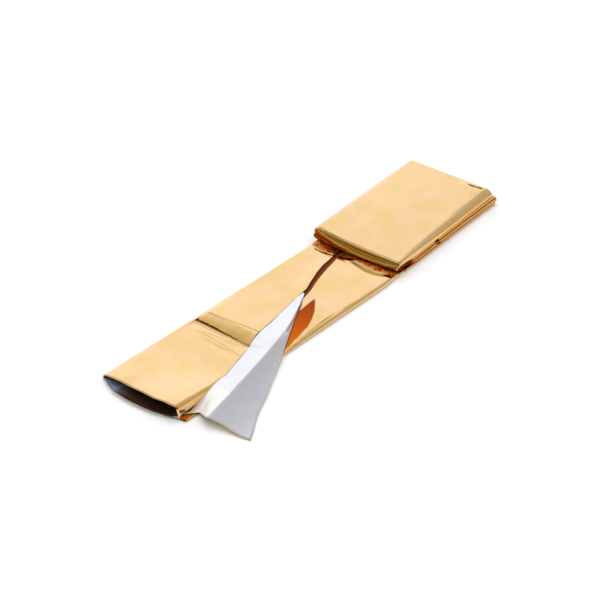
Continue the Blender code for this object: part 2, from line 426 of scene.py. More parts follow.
@dataclass
class Strip:
    """The pulled-out strip: top leaf, bottom leaf, lower gold leaf and the turned-out flap, in one run of film."""

    layout: Layout
    top_steps: int = 46
    lip_steps: int = 9
    outer_steps: int = 9
    low_steps: int = 6
    right_steps: int = 9
    gold_steps: int = 38
    inner_steps: int = 6
    hidden_steps: int = 6
    left_facet_steps: int = 11
    right_facet_steps: int = 16
    inner_fold_y: float = 43.0
    lip_width: float = 4.2
    core_inset: float = 1.4
    wall_length: float = 60.0
    # Painted shade inside the open mouth: its silver is painted dark on the right, greyer towards the left, and grey
    # at the inner fold
    mouth_depth: float = 0.45
    mouth_depths: tuple = ((-60, 1.0), (13, 1.0), (17, 0.5), (45, 0.38))
    # Painted reflection of the flap on the lower gold leaf at the mouth's corner, deep orange
    flap_depth: float = 0.62
    root_reach: float = -15.5
    root_run: float = 8.0
    tucked: float = 0.4
    # Painted highlight: near its end the flap's left facet is painted lighter
    painted_highlight_depth: float = -0.6
    painted_highlight_length: float = 62.0
    painted_highlight_fade: float = 26.0
    # Painted reflections on the lower gold leaf: the flap's, deeper orange further along, and the slit's, dark copper
    # to brown; corner_x and corner_y bound the flap's painted reflection at the mouth
    flap_depths: tuple = ((110, 0.53), (140, 0.58), (170, 0.66), (195, 0.74))
    slit_depths: tuple = (
        (0.3, 0.76), (0.5, 0.8), (0.65, 0.86), (0.8, 0.9), (1.0, 0.93), (1.5, 0.9),
    )
    corner_x: float = 40.0
    corner_y: float = -41.0
    # The painted shade inside the mouth starts this far past the flap's root
    painted_shade_run: float = 1.2
    mouth_length: float = 75.0
    reach_length: float = 60.0
    crease_x: float = 115.0
    crease_profile: tuple = (
        (-30, 0), (-16, -0.2), (-8, -0.45), (-3, -0.7), (-1.0, -0.8), (0, -0.3), (1.0, 0.2), (8, 0.9),
        (13, 1.4), (15.5, 1.7), (17, 1.75), (24, 1.3), (40, 0.5), (60, 0),
    )
    # Painted shade and reflection at the panel crease: an olive band painted where its rise would mirror the darker
    # sky, and a dark painted line along its front
    crease_far: tuple = ((-20, 22.5), (-1, 20.5), (27, 16.5), (47, 14.8))
    crease_band: tuple = (
        (-2.44, FAR), (-0.04, 0), (0.02, 1), (0.45, 0.95), (0.75, 0.35), (0.88, 0.05), (0.93, 0.1), (0.96, 0.75),
        (0.99, 0.75), (1.03, 0), (3.1, FAR),
    )
    crease_depths: tuple = ((0.0, -0.2), (0.3, -0.16), (0.7, -0.08), (0.9, -0.05), (0.93, -0.45), (1.0, -0.45))
    crease_line: tuple = ((-8, 0), (8, 0.5), (25, 1.0), (42, 1.1), (44.5, 2.4), (50, 2.4))
    crease_line_depth: float = -0.82
    crease_root: tuple = (
        (85, 0.0), (104, -0.5), (114, -0.7), (118, 0.3), (128, 1.2), (139, 1.2), (155, 0.3), (175, 0.0),
    )
    slit_curl: float = 16.0
    # Where the slit's painted reflection starts, as a share of the way from slit_y to the top leaf's edge
    slit_share: float = 0.34
    gold_swell: float = 3.0
    row_runs: tuple = (
        (0, 96, 35), (96, 108, 9), (109, 119, 15), (120, 216, 66), (126, 140, 20), (216, 299, 38), (272, 296, 24),
    )
    flap: tuple = (
        FlapRow(x=0, root_y=-51, crest_y=-65.5, crest_z=9.2, free_y=-108, free_z=0.5),
        FlapRow(x=20, root_y=-46, crest_y=-63.4, crest_z=10.4, free_y=-100, free_z=0.6),
        FlapRow(x=40, root_y=-40.8, crest_y=-60.8, crest_z=11.2, free_y=-92, free_z=0.9),
        FlapRow(x=68, root_y=-33.9, crest_y=-55.3, crest_z=12.2, free_y=-80, free_z=1.6),
        FlapRow(x=97, root_y=-25.4, crest_y=-48.5, crest_z=12.0, free_y=-64.5, free_z=2.6),
        FlapRow(x=131, root_y=-14.4, crest_y=-39.5, crest_z=11.2, free_y=-47, free_z=4.4),
        FlapRow(x=150, root_y=-11.2, crest_y=-33.0, crest_z=9.8, free_y=-36.5, free_z=5.2),
        FlapRow(x=170, root_y=-7.6, crest_y=-24.3, crest_z=8.2, free_y=-25.5, free_z=6.2),
        FlapRow(x=195, root_y=-3.0, crest_y=-12.0, crest_z=7.6, free_y=-13, free_z=6.5),
        FlapRow(x=210, root_y=2.5, crest_y=-1.5, crest_z=6.0, free_y=-4, free_z=6.0),
        FlapRow(x=222, root_y=12, crest_y=9, crest_z=3.4, free_y=6, free_z=3.4),
        FlapRow(x=246, root_y=24, crest_y=21, crest_z=3.4, free_y=18, free_z=3.4),
        FlapRow(x=310, root_y=30, crest_y=27, crest_z=3.4, free_y=24, free_z=3.4),
    )
    edge: tuple = (
        EdgeRow(x=0, edge_y=-43.5, lift=0, lip=10.2),
        EdgeRow(x=25, edge_y=-42.0, lift=0, lip=7.2),
        EdgeRow(x=45, edge_y=-39.5, lift=0, lip=3.0),
        EdgeRow(x=68, edge_y=-33.5, lift=0, lip=0),
        EdgeRow(x=109, edge_y=-21.6, lift=0, lip=0),
        EdgeRow(x=131, edge_y=-14, lift=0, lip=0),
        EdgeRow(x=157, edge_y=-9.4, lift=0, lip=0),
        EdgeRow(x=191, edge_y=-3, lift=0.3, lip=0),
        EdgeRow(x=219, edge_y=0.5, lift=1.0, lip=0),
        EdgeRow(x=230, edge_y=5, lift=1.2, lip=0),
        EdgeRow(x=246, edge_y=11, lift=1.2, lip=0),
        EdgeRow(x=261, edge_y=15.4, lift=1.0, lip=0),
        EdgeRow(x=276, edge_y=17.3, lift=0.6, lip=0),
        EdgeRow(x=310, edge_y=19, lift=0, lip=0),
    )
    mouth: tuple = (
        MouthRow(y=-120, rise=7.5, top_reach=0, low_reach=-17),
        MouthRow(y=-108, rise=7.5, top_reach=0, low_reach=-16.5),
        MouthRow(y=-99, rise=7.5, top_reach=0, low_reach=-14.5),
        MouthRow(y=-92, rise=7.5, top_reach=0, low_reach=-13.5),
        MouthRow(y=-81, rise=7.5, top_reach=0, low_reach=-12.5),
        MouthRow(y=-73, rise=7.5, top_reach=0, low_reach=-10.5),
        MouthRow(y=-65.5, rise=7.5, top_reach=0, low_reach=-8),
        MouthRow(y=-50, rise=8.2, top_reach=1, low_reach=0),
        MouthRow(y=-36, rise=8.8, top_reach=3, low_reach=4),
        MouthRow(y=-27, rise=8.4, top_reach=3, low_reach=8),
        MouthRow(y=-15, rise=6.5, top_reach=3, low_reach=10),
        MouthRow(y=0, rise=4.5, top_reach=1, low_reach=11),
        MouthRow(y=15, rise=2.5, top_reach=0, low_reach=11),
        MouthRow(y=28, rise=2.6, top_reach=0, low_reach=9.5),
        MouthRow(y=40, rise=1.6, top_reach=0, low_reach=5),
        MouthRow(y=48, rise=0, top_reach=0, low_reach=0),
    )
    gold: tuple = (
        GoldRow(x=100, brow_y=-44, slope=4, swell=0),
        GoldRow(x=131, brow_y=-44, slope=6, swell=0.25),
        GoldRow(x=150, brow_y=-33, slope=8, swell=0.5),
        GoldRow(x=172, brow_y=-21, slope=8, swell=0.9),
        GoldRow(x=194, brow_y=-10, slope=8, swell=1),
        GoldRow(x=211, brow_y=0, slope=8, swell=1),
        GoldRow(x=222, brow_y=6, slope=6, swell=1),
        GoldRow(x=246, brow_y=16, slope=6, swell=1),
        GoldRow(x=262, brow_y=20, slope=6, swell=1),
        GoldRow(x=283, brow_y=23, slope=5, swell=0.9),
        GoldRow(x=299, brow_y=24, slope=4, swell=0),
    )
    # Bounds of the painted reflections of the flap and the slit on the lower gold leaf
    painted_shades: tuple = (
        ShadeRow(x=100, flap_y=-50, flap_top=-30, slit_y=30),
        ShadeRow(x=135, flap_y=-46.5, flap_top=-23, slit_y=30),
        ShadeRow(x=173, flap_y=-39.6, flap_top=-19, slit_y=-22),
        ShadeRow(x=185, flap_y=-34.5, flap_top=-17.9, slit_y=-17),
        ShadeRow(x=196, flap_y=-28.4, flap_top=-16.6, slit_y=-13),
        ShadeRow(x=205, flap_y=-21.3, flap_top=-15.7, slit_y=-10.5),
        ShadeRow(x=213, flap_y=-14.9, flap_top=-14.9, slit_y=-8),
        ShadeRow(x=220, flap_y=-9, flap_top=-14, slit_y=-6),
        ShadeRow(x=237, flap_y=0, flap_top=-14, slit_y=-0.1),
        ShadeRow(x=262, flap_y=8, flap_top=-14, slit_y=6.2),
        ShadeRow(x=283, flap_y=12, flap_top=-14, slit_y=11.2),
        ShadeRow(x=300, flap_y=14, flap_top=-14, slit_y=15),
    )
    top_dents: tuple = (
        Dent(x0=108, y0=36, x1=111, y1=-22, width=2.4, height=0.35),
        Dent(x0=97, y0=28, x1=95, y1=-26, width=3.5, height=-0.45),
        Dent(x0=291, y0=52, x1=289, y1=17, width=9.0, height=2.0),
    )
    # Fine fold lines on the top leaf, painted in darker tones: painted shade
    top_crease_shades: tuple = (
        CreaseShade(x0=112.2, y0=44, x1=112.0, y1=-17, width=0.8, depth=0.42),
        CreaseShade(x0=104, y0=33, x1=98, y1=-24, width=0.9, depth=-0.25, bow=1.5),
        CreaseShade(x0=286, y0=46, x1=279.5, y1=15, width=1.2, depth=-0.55),
        CreaseShade(x0=280, y0=38, x1=277, y1=17, width=1.6, depth=-0.2),
    )
    # Fine fold lines on the lower gold leaf, painted darker: painted shade
    gold_crease_shades: tuple = (
        CreaseShade(x0=153, y0=-46.6, x1=199, y1=-44.6, width=1.5, depth=-0.55),
        CreaseShade(x0=199, y0=-44.6, x1=226, y1=-46.0, width=0.9, depth=-0.3),
        CreaseShade(x0=215, y0=-47.2, x1=284, y1=-48.6, width=1.3, depth=-0.4),
        CreaseShade(x0=132, y0=-45.6, x1=150, y1=-48.2, width=1.3, depth=-0.6),
    )
    # Painted tones before the pack: an olive painted reflection from olive to pale, then painted reflection and shade
    # of the pack's front from crumpled on, deepest from red on
    front: tuple = (
        FrontRow(y=-50, olive=284, pale=284.2, crumpled=286.5, red=297),
        FrontRow(y=-44, olive=283, pale=284, crumpled=286.5, red=296),
        FrontRow(y=-40, olive=280, pale=283.6, crumpled=286, red=295),
        FrontRow(y=-30, olive=277.5, pale=282.2, crumpled=284.5, red=292),
        FrontRow(y=-20, olive=277.5, pale=282.0, crumpled=284.5, red=290.5),
        FrontRow(y=-8, olive=280, pale=284.0, crumpled=286.8, red=290),
        FrontRow(y=0, olive=283, pale=286.0, crumpled=288.0, red=295),
        FrontRow(y=6, olive=286, pale=286.5, crumpled=287.5, red=298),
        FrontRow(y=14, olive=286, pale=287, crumpled=287.5, red=298),
        FrontRow(y=15, olive=290, pale=290, crumpled=284, red=285),
        FrontRow(y=25, olive=290, pale=290, crumpled=281.8, red=283),
        FrontRow(y=34, olive=290, pale=290, crumpled=283.5, red=288),
        FrontRow(y=41, olive=290, pale=290, crumpled=284.7, red=293),
        FrontRow(y=48, olive=290, pale=290, crumpled=287, red=297),
    )
    # front_olive is the olive painted reflection's depth, front_base the painted depth among the crumples; fold_x and
    # fold_y bound a gold fold where the slit's painted reflection stops
    front_olive: float = -0.36
    fold_x: float = 284.5
    fold_y: float = 15.5
    front_base: tuple = ((-4, 0.56), (1, 0.42), (14, 0.42), (16, 0.56))
    front_crumple: float = 0.8
    front_size: float = 4.5
    gold_dents: tuple = (
        Dent(x0=290, y0=12, x1=291, y1=-44, width=10.0, height=2.4),
        Dent(x0=286, y0=-30, x1=295, y1=-52, width=5.0, height=1.4),
    )

    @property
    def core_slice(self) -> slice:
        """The columns of the two lower leaves, which run on through the pack."""
        first = self.lip_steps + self.top_steps + self.outer_steps - 1
        return slice(first, first + self.low_steps + self.right_steps + self.gold_steps)

    def rows(self) -> Grid:
        """Places of the rows of points along the strip, closer together at the creases."""
        found = [np.linspace(*run) for run in self.row_runs]
        found.append(np.array([self.layout.pack_front + self.layout.tuck]))
        return np.unique(np.round(np.concatenate(found), 2))

    def top_height(self, x: Grid, y: Grid) -> Grid:
        """Height of the top leaf: open mouth, panel crease, curled slit and soft wrinkles.

        Args:
            x: Places along the strip.
            y: Places across it.

        Returns:
            Height of the film's gold face at each place.
        """
        edge_y, lift = read(self.edge, "edge_y", x), read(self.edge, "lift", x)
        opening = read(self.mouth, "rise", y) * (1 - smooth(x / self.mouth_length))
        inland = smooth((self.layout.half - 2 - y) / 6)
        slit = lift * smooth(1 - (y - edge_y) / self.slit_curl)
        uneven = 0.30 * waves(x, y, 38.0, 1.3) + 0.12 * waves(x, y, 17.0, 5.1)
        uneven = uneven + self.crumpled(x, y)
        fold = self.crease_shape(x, y)
        return self.layout.top_z + opening + inland * (fold + uneven) + slit + dents(self.top_dents, x, y)

    def front_shade(self, x: Grid, y: Grid) -> tuple[Grid, Grid]:
        """How far each place lies inside the painted tones before the pack, an olive painted reflection on the slope
        and painted reflection and shade of the pack's front among the crumples, and how deep its painted colour is.
        """
        olive, pale, crumpled, red = (read(self.front, name, y) for name in ("olive", "pale", "crumpled", "red"))
        rough = waves(x, y, self.front_size * 0.6, 4.4)
        base = np.interp(y, *zip(*self.front_base))
        deep = np.where(x > red + 1.5 * rough, 0.84 - 0.12 * rough, base + 0.42 * rough)
        slope = np.minimum(x - olive, pale - x)
        inner = x - crumpled + 0.8 * rough
        return np.maximum(slope, inner), np.where(inner > 0, deep, self.front_olive)

    def crumpled(self, x: Grid, y: Grid) -> Grid:
        """Height of the small crumples before the pack."""
        start = read(self.front, "crumpled", y)
        near = smooth((x - start + 2) / 4)
        return self.front_crumple * near * waves(x, y, self.front_size, 6.6)

    def crease_past(self, x: Grid, y: Grid) -> Grid:
        """Distance behind the panel crease's front line, which wavers slightly."""
        return x - self.crease_x - 0.8 * waves(x * 0, y, 9.0, 3.7)

    def crease_shape(self, x: Grid, y: Grid) -> Grid:
        """Height over the panel crease: a sag, a short step, a long rise that mirrors the dark side, and a fall."""
        return np.interp(self.crease_past(x, y), *zip(*self.crease_profile))

    def top_shade(self, x: Grid, y: Grid) -> tuple[Grid, Grid]:
        """Painted shade and reflection on the top leaf: the panel crease's olive band and its dark front line, painted
        fold lines and the painted tones before the pack.

        Args:
            x: Places along the strip.
            y: Places across it.

        Returns:
            How far each place lies inside such a painted part, and how deep its painted colour is.
        """
        past = self.crease_past(x, y)
        run = past / np.interp(y, *zip(*self.crease_far))
        strong, deep = np.interp(run, *zip(*self.crease_band)), np.interp(run, *zip(*self.crease_depths))
        width = np.interp(y, *zip(*self.crease_line)) * (1 + 0.7 * waves(x * 0, y, 3.1, 2.9))
        line = np.clip(1.5 - np.abs(past - 0.4 - 0.5 * width) / np.maximum(width, 0.05), FAR, 1)
        line = np.where(width > 0.1, line, FAR)
        strong, deep = np.maximum(strong, line), np.where(line > 0.5, self.crease_line_depth, deep)
        drawn, tone = crease_shades(self.top_crease_shades, x, y)
        strong, deep = np.maximum(strong, drawn), np.where(drawn > strong, tone, deep)
        before, before_deep = self.front_shade(x, y)
        line = as_inside_painted_light(strong)
        return np.maximum(line, before), np.where(before > line, before_deep, deep)

    def gold_rise(self, x: Grid, y: Grid) -> Grid:
        """How far the lower gold leaf stands off its rest level.

        Args:
            x: Places along the strip.
            y: Places across it.

        Returns:
            The swollen part right of the slit, the wrinkles at the pack and a gentle unevenness.
        """
        brow_y, slope = read(self.gold, "brow_y", x), read(self.gold, "slope", x)
        swell = self.gold_swell * read(self.gold, "swell", x) * np.clip((brow_y + slope - y) / slope, 0, 1)
        free = smooth((brow_y + slope - y) / 8) * smooth((y + self.layout.half) / 6)
        wrinkles = dents(self.gold_dents, x, y) + np.abs(self.crumpled(x, y))
        uneven = 0.22 * waves(x, y, 34.0, 8.2) * smooth((x - 110) / 60)
        return swell + free * (wrinkles + np.abs(uneven))

    def reach(self, x: Grid, y: Grid, column: str) -> Grid:
        """Move the mouth's edge out or in, fading along the strip.

        Args:
            x: Places along the strip.
            y: Places across it.
            column: Which edge of the mouth.

        Returns:
            The moved places along the strip.
        """
        return x - read(self.mouth, column, y) * (1 - smooth(x / self.reach_length))

    def section(self, x: float) -> Grid:
        """One row of points across all four leaves, in one run of film.

        Args:
            x: The row's place along the strip.

        Returns:
            An array of points, one for each column.
        """
        lay = self.layout
        radius = (lay.top_z - lay.low_z) / 2
        outer_y = lay.half - lay.ply / 2 - radius
        edge_y, lip = float(read(self.edge, "edge_y", x)), float(read(self.edge, "lip", x))
        u = np.arange(self.lip_steps) / self.lip_steps
        lip_y = blend(edge_y, edge_y + self.lip_width, u * u)
        top_y = blend(edge_y + self.lip_width, outer_y, np.arange(self.top_steps) / self.top_steps)
        y = np.concatenate([lip_y, top_y])
        z = self.top_height(np.full(y.shape, x), y)
        z[:self.lip_steps] -= lip * (1 - smooth(u))
        rows = [self.row(self.reach(x, y, "top_reach"), y, z, *self.top_shade(np.full(y.shape, x), y))]
        c, s = half_turn(90, -90, self.outer_steps)
        rows.append(self.row(c * 0 + x, outer_y + radius * c, lay.low_z + radius * (1 + s), PLAIN, 0)[:-1])
        rows.append(self.core(x, outer_y))
        radius = (lay.flap_z - lay.gold_z) / 2
        c, s = half_turn(-90, 90, self.inner_steps)
        y, z = self.inner_fold_y + radius * c, lay.gold_z + radius * (1 + s)
        # The inner fold inside the mouth is painted grey: painted shade
        rows.append(self.row(self.reach(x, y, "low_reach"), y, z, DEEP, self.mouth_depth)[1:])
        rows.append(self.flap_run(x))
        points = np.concatenate(rows)
        points[:, 0], points[:, 1] = lay.turned(points[:, 0], points[:, 1], 0)
        return points

    def row(self, x: Grid, y: Grid, z: Grid, inside_painted_light: Grid | float, depth: Grid | float) -> Grid:
        """Put places, heights and shades side by side, one line for each column."""
        return np.stack(np.broadcast_arrays(x, y, z, inside_painted_light, depth), 1).astype(float)

    def core(self, x: float, outer_y: float) -> Grid:
        """The bottom leaf, the right fold and the lower gold leaf at one row."""
        lay = self.layout
        radius = lay.half_gap + self.gold_swell * float(read(self.gold, "swell", x)) / 2
        fold_y = -lay.half + lay.ply / 2 + radius
        low_y = np.linspace(outer_y, fold_y, self.low_steps)
        c, s = half_turn(270, 90, self.right_steps + 2)
        turn_y = (fold_y + radius * c)[1:-1]
        turn_z = (lay.low_z + radius * (1 + s))[1:-1]
        gold_y = np.linspace(fold_y, self.inner_fold_y, self.gold_steps)
        gold_z = lay.gold_z + self.gold_rise(np.full(gold_y.shape, x), gold_y)
        inside_painted_light, depth = self.gold_shade(x, gold_y)
        y = np.concatenate([low_y, turn_y, gold_y])
        z = np.concatenate([np.full(low_y.shape, lay.low_z), turn_z, gold_z])
        plain = np.full(y.size - gold_y.size, PLAIN)
        inset = self.core_inset * (1 - smooth(x / self.reach_length))
        return self.row(
            self.reach(x, y, "low_reach") + inset, y, z,
            np.concatenate([plain, inside_painted_light]), np.concatenate([plain * 0, depth]),
        )

    def gold_shade(self, x: float, y: Grid) -> tuple[Grid, Grid]:
        """Where the lower gold leaf is painted with reflections of other film and with painted shade along fold lines
        and before the pack, and how deep.

        Args:
            x: The row's place along the strip.
            y: Places across it.

        Returns:
            How far each place lies inside such a painted part in millimetres, and how deep its painted colour is.
        """
        flap_y, flap_top, slit_y = (float(read(self.painted_shades, name, x)) for name in ("flap_y", "flap_top", "slit_y"))
        edge_y = float(read(self.edge, "edge_y", x))
        flap = np.minimum(y - flap_y, flap_top - y)
        bound_y = blend(slit_y, edge_y, self.slit_share)
        slit = np.where((x > self.fold_x) & (y < self.fold_y), PLAIN, y - bound_y)
        span = np.clip((y - slit_y) / max(edge_y - slit_y, 1.0), 0, 1.5)
        flap_depth = np.interp(x + 0.4 * y, *zip(*self.flap_depths))
        depth = np.where(flap > slit, flap_depth, np.interp(span, *zip(*self.slit_depths)))
        # At the mouth's corner the lower gold leaf is painted with the flap's reflection
        if x < self.corner_x:
            corner = self.corner_y - y
            return np.where(corner > 0, corner, PLAIN), np.full(y.shape, self.flap_depth)
        before, before_deep = self.front_shade(np.full(y.shape, x), y)
        before = np.where(slit > 0, PLAIN, before)
        drawn, tone = crease_shades(self.gold_crease_shades, np.full(y.shape, x), y)
        painted_reflection, line = np.maximum(flap, slit), as_inside_painted_light(drawn)
        nearest = np.maximum(np.maximum(painted_reflection, before), line)
        depth = np.where(painted_reflection == nearest, depth, np.where(before == nearest, before_deep, tone))
        return nearest, depth

    def flap_run(self, x: float) -> Grid:
        """The flap's leaf at one row, from under the top leaf over its crest to its free edge."""
        lay = self.layout
        root_y, crest_y, crest_z, free_y, free_z = (
            float(read(self.flap, name, x)) for name in ("root_y", "crest_y", "crest_z", "free_y", "free_z")
        )
        hidden_y = blend(self.inner_fold_y, root_y, np.arange(1, self.hidden_steps) / self.hidden_steps)
        u = np.arange(self.left_facet_steps) / self.left_facet_steps
        spot = np.array([float(x)]), np.array([root_y])
        over = float((self.top_height(*spot) - self.crease_shape(*spot))[0])
        over += float(np.interp(x, *zip(*self.crease_root))) - self.tucked
        over = blend(over, lay.flap_z, smooth((self.wall_length - x) / self.wall_length))
        root_z = blend(over, lay.flap_z, smooth((x - 200) / 20))
        left_y, left_z = blend(root_y, crest_y, u), blend(root_z, crest_z, u)
        bulge = 0.5 * np.sin(np.pi * u) * smooth((190 - x) / 60) * smooth((x - 40) / 40)
        hidden_z = blend(lay.flap_z, root_z, smooth((root_y + 14 - hidden_y) / 12))
        v = np.linspace(0, 1, self.right_facet_steps)
        right_y, right_z = blend(crest_y, free_y, v), blend(crest_z, free_z, v)
        sag = 1.0 * np.sin(np.pi * v) * smooth((200 - x) / 100)
        y = np.concatenate([hidden_y, left_y, right_y])
        z = np.concatenate([hidden_z, left_z + bulge, right_z - sag])
        # Painted shade: inside the mouth the silver is painted dark with a mottle; near the flap's end its left facet
        # is painted lighter, a painted highlight
        depth = np.interp(y, *zip(*self.mouth_depths)) + 0.30 * waves(x * 0.25 + y * 0, y, 2.2, 9.1) * smooth((y - 14) / 6)
        painted_highlight = float(as_inside_painted_light(smooth((self.painted_highlight_length - x) / self.painted_highlight_fade)))
        inside = y - root_y - self.painted_shade_run
        facet = np.minimum(np.minimum(root_y + self.painted_shade_run - y, y - crest_y), painted_highlight)
        inside_painted_light, depth = np.maximum(inside, facet), np.where(inside > -0.1, depth, self.painted_highlight_depth)
        return self.row(self.flap_reach(x, y, root_y, crest_y), y, z, inside_painted_light, depth)

    def flap_reach(self, x: float, y: Grid, root_y: float, crest_y: float) -> Grid:
        """Draw the flap's end in at its root, evenly down to its crest, fading along the strip.

        Args:
            x: The row's place along the strip.
            y: Places across it.
            root_y: Where the flap leaves the strip.
            crest_y: Where its crest lies.

        Returns:
            The moved places along the strip.
        """
        end = read(self.mouth, "low_reach", y)
        crest = float(read(self.mouth, "low_reach", crest_y))
        facet = blend(self.root_reach, crest, np.clip((root_y - y) / (root_y - crest_y), 0, 1))
        hidden = blend(end, self.root_reach, smooth((root_y + self.root_run - y) / self.root_run))
        end = np.where(y > root_y, hidden, np.where(y > crest_y, facet, end))
        return x - end * (1 - smooth(x / self.reach_length))


@dataclass
class Pack:
    """The folded pack: five panels of the two lower leaves, folded back and forth over the strip's end."""

    layout: Layout
    strip: Strip
    height_front_left: float = 18.8
    height_front_right: float = 14.4
    height_back_left: float = 18.0
    height_back_right: float = 16.6
    crown: float = 0.6
    panel_gap: float = 0.5
    bevel_right: tuple = ((-10, 1.2), (0, 1.4), (30, 2.2), (64, 3.0), (91, 4.2), (117, 5.4), (155, 7.5), (168, 6.0))
    bevel_share: float = 0.45
    front_rest: float = 6.4
    rest_run: float = 24.0
    drop_from: float = 0.4
    least: float = 0.6
    crumple: float = 0.9
    crumple_size: float = 6.0
    crumple_top: float = 13.0
    # Painted shade and reflection on the pack: dark red painted shade at its front and under the top fold's nose,
    # olive painted reflection on the nose, and painted tones round the right folds in side_tones
    front_depth: float = 0.74
    nose_depth: float = 0.7
    nose_olive: float = -0.22
    side_tones: tuple = (
        ((-1, 0.7), (-0.5, 0.45), (0, 0.2), (0.6, 0.12), (0.9, -0.7), (1, -0.7)),
        ((-1, 0.85), (-0.5, 0.5), (0, 0.25), (0.6, 0.15), (0.9, -0.8), (1, -0.8)),
        ((-1, 0.85), (-0.6, 0.62), (0, 0.35), (0.6, 0.2), (0.9, -0.8), (1, -0.8)),
        ((-1, 0.85), (-0.7, 0.6), (-0.3, 0.25), (0.4, 0.15), (0.8, -0.5), (1, -0.8)),
        ((-1, -0.9), (-0.75, -0.6), (-0.5, 0.15), (-0.1, 0.15), (0.1, -0.55), (0.3, 0.15), (0.9, 0.15), (1, 0.15)),
    )
    nose: tuple = ((-50, -6.5), (-35, -7.0), (-10, -7.5), (10, -7.0), (38, -2.6), (50, 0.0))
    bevel_front: float = 5.0
    front_drop: tuple = ((-50, 2.0), (-35, 3.6), (-10, 4.5), (10, 4.2), (38, 2.0), (50, 0.8))
    inner_share: float = 0.85
    panel_steps: int = 30
    top_panel_steps: int = 60
    nose_steps: int = 40
    nose_length: float = 11.4
    # Painted tones on the top panel's front: nose_edge ends the bands, nose_red bounds the dark red painted shade
    # under the nose, side_gold is a painted tone beside the right bevel, the bands are olive painted reflection with
    # dark painted lines at the film edges, and spot is a dark painted band of shade between the middle bundles
    nose_edge: tuple = ((-50, 0.9), (-20, 0.2), (20, 0.2), (50, 1.2))
    nose_red: tuple = ((-50, 0.15), (-42, 0.0), (-10, 0.0), (15, 0.25), (36, 0.8), (50, 1.1))
    side_gold: float = -0.09
    nose_painted_bands: tuple = (
        (0.0, -0.85), (0.05, -0.45), (0.15, -0.3), (0.20, -0.35), (0.25, -0.85), (0.30, -0.3), (0.40, -0.28),
        (0.45, -0.85), (0.50, -0.85), (0.55, -0.25), (0.65, -0.18), (0.70, -0.7), (0.75, -0.15), (0.9, 0.15),
        (0.95, -0.85), (1.0, -0.85),
    )
    spot: tuple[float, float] = (61.0, 69.0)
    spot_shares: tuple = (0.366, 0.375, 0.413, 0.422, 0.578, 0.587, 0.626, 0.635)
    # Fine fold lines on the top panel, painted dark: painted shade
    top_crease_shades: tuple = (
        CreaseShade(x0=160.2, y0=-24.5, x1=161.7, y1=-38.5, width=1.5, depth=-0.95),
        CreaseShade(x0=157, y0=-21, x1=141, y1=-41, width=0.9, depth=-0.12),
    )
    top_dents: tuple = (
        Dent(x0=163, y0=-16, x1=146, y1=-42, width=6, height=0.5),
        Dent(x0=30, y0=-44, x1=150, y1=-36, width=5, height=0.25),
        Dent(x0=12, y0=20, x1=60, y1=34, width=6, height=-0.2),
    )
    turn_steps: int = 11
    panels: tuple = (
        PanelRow(low_left=0.0, high_left=0.20, low_right=0.0, high_right=0.17, shift=-1.2),
        PanelRow(low_left=0.20, high_left=0.40, low_right=0.17, high_right=0.26, shift=0.8),
        PanelRow(low_left=0.40, high_left=0.62, low_right=0.26, high_right=0.36, shift=-1.8),
        PanelRow(low_left=0.62, high_left=0.78, low_right=0.36, high_right=0.54, shift=0.4),
        PanelRow(low_left=0.78, high_left=1.0, low_right=0.54, high_right=1.0, shift=0.0),
    )
    turns: tuple = (
        TurnRow(left=165, right=169, turn_deg=-0.9),
        TurnRow(left=-2, right=-3.5, turn_deg=-0.5, bow=-2.5),
        TurnRow(left=169, right=170, turn_deg=-1.1),
        TurnRow(left=-1.0, right=-5, turn_deg=0.1, bow=-4.5),
        TurnRow(left=167, right=165, turn_deg=0.1),
    )

    def whole(self, back: Grid, y: Grid) -> Grid:
        """Height of the whole pack at a place in it."""
        u = np.clip(back / self.layout.pack_length, 0, 1)
        v = np.clip((y + self.layout.half) / self.layout.width, 0, 1)
        left = blend(self.height_front_left, self.height_back_left, u)
        right = blend(self.height_front_right, self.height_back_right, u)
        return blend(right, left, v) + self.crown * np.sin(np.pi * u) * np.sin(np.pi * v)

    def span(self, level: int, back: Grid, y: Grid) -> tuple[Grid, Grid]:
        """Heights between which a panel lies: it thins towards its right fold, and the top ones droop at the front.

        Args:
            level: The panel, counted up from the bottom.
            back: Distance behind the pack's front.
            y: Place across the pack.

        Returns:
            Its lower and upper film.
        """
        panel, whole = self.panels[level], self.whole(back, y)
        v = np.clip((y + self.layout.half) / self.layout.width, 0, 1)
        past = (back - np.interp(y, *zip(*self.nose))) / self.bevel_front
        drop = np.interp(y, *zip(*self.front_drop)) * np.clip(1 - past, 0, 1)
        first = blend(self.panels[1].low_right, self.panels[1].low_left, v)

        def at_share(share: Grid) -> Grid:
            """Height at a share of the whole: at the front the upper panels rest on the strip's leaves."""
            flat = self.layout.low_z + share * whole
            raised = self.front_rest + (self.layout.low_z + whole - self.front_rest) * (share - first) / (1 - first)
            lifted = flat if level == 0 else blend(raised, flat, smooth((back - 4) / self.rest_run))
            return lifted - drop * np.clip((share - self.drop_from) / (1 - self.drop_from), 0, 1)

        low = at_share(blend(panel.low_right, panel.low_left, v))
        high = np.maximum(at_share(blend(panel.high_right, panel.high_left, v)) - self.panel_gap, low + self.least)
        width = np.interp(back, *zip(*self.bevel_right)) if level == self.layout.panels - 1 else 2.5
        bevel = blend(self.bevel_share, 1.0, np.clip((y + self.layout.half) / width, 0, 1))
        return low, low + (high - low) * bevel

    def middle(self, level: int, back: Grid, y: Grid) -> Grid:
        """Height of the middle of a panel's two films; the first panel goes on from the strip."""
        low, high = self.span(level, back, y)
        start = self.layout.middle_z
        return blend(start, (low + high) / 2, smooth((back - 6) / 14)) if level == 0 else (low + high) / 2

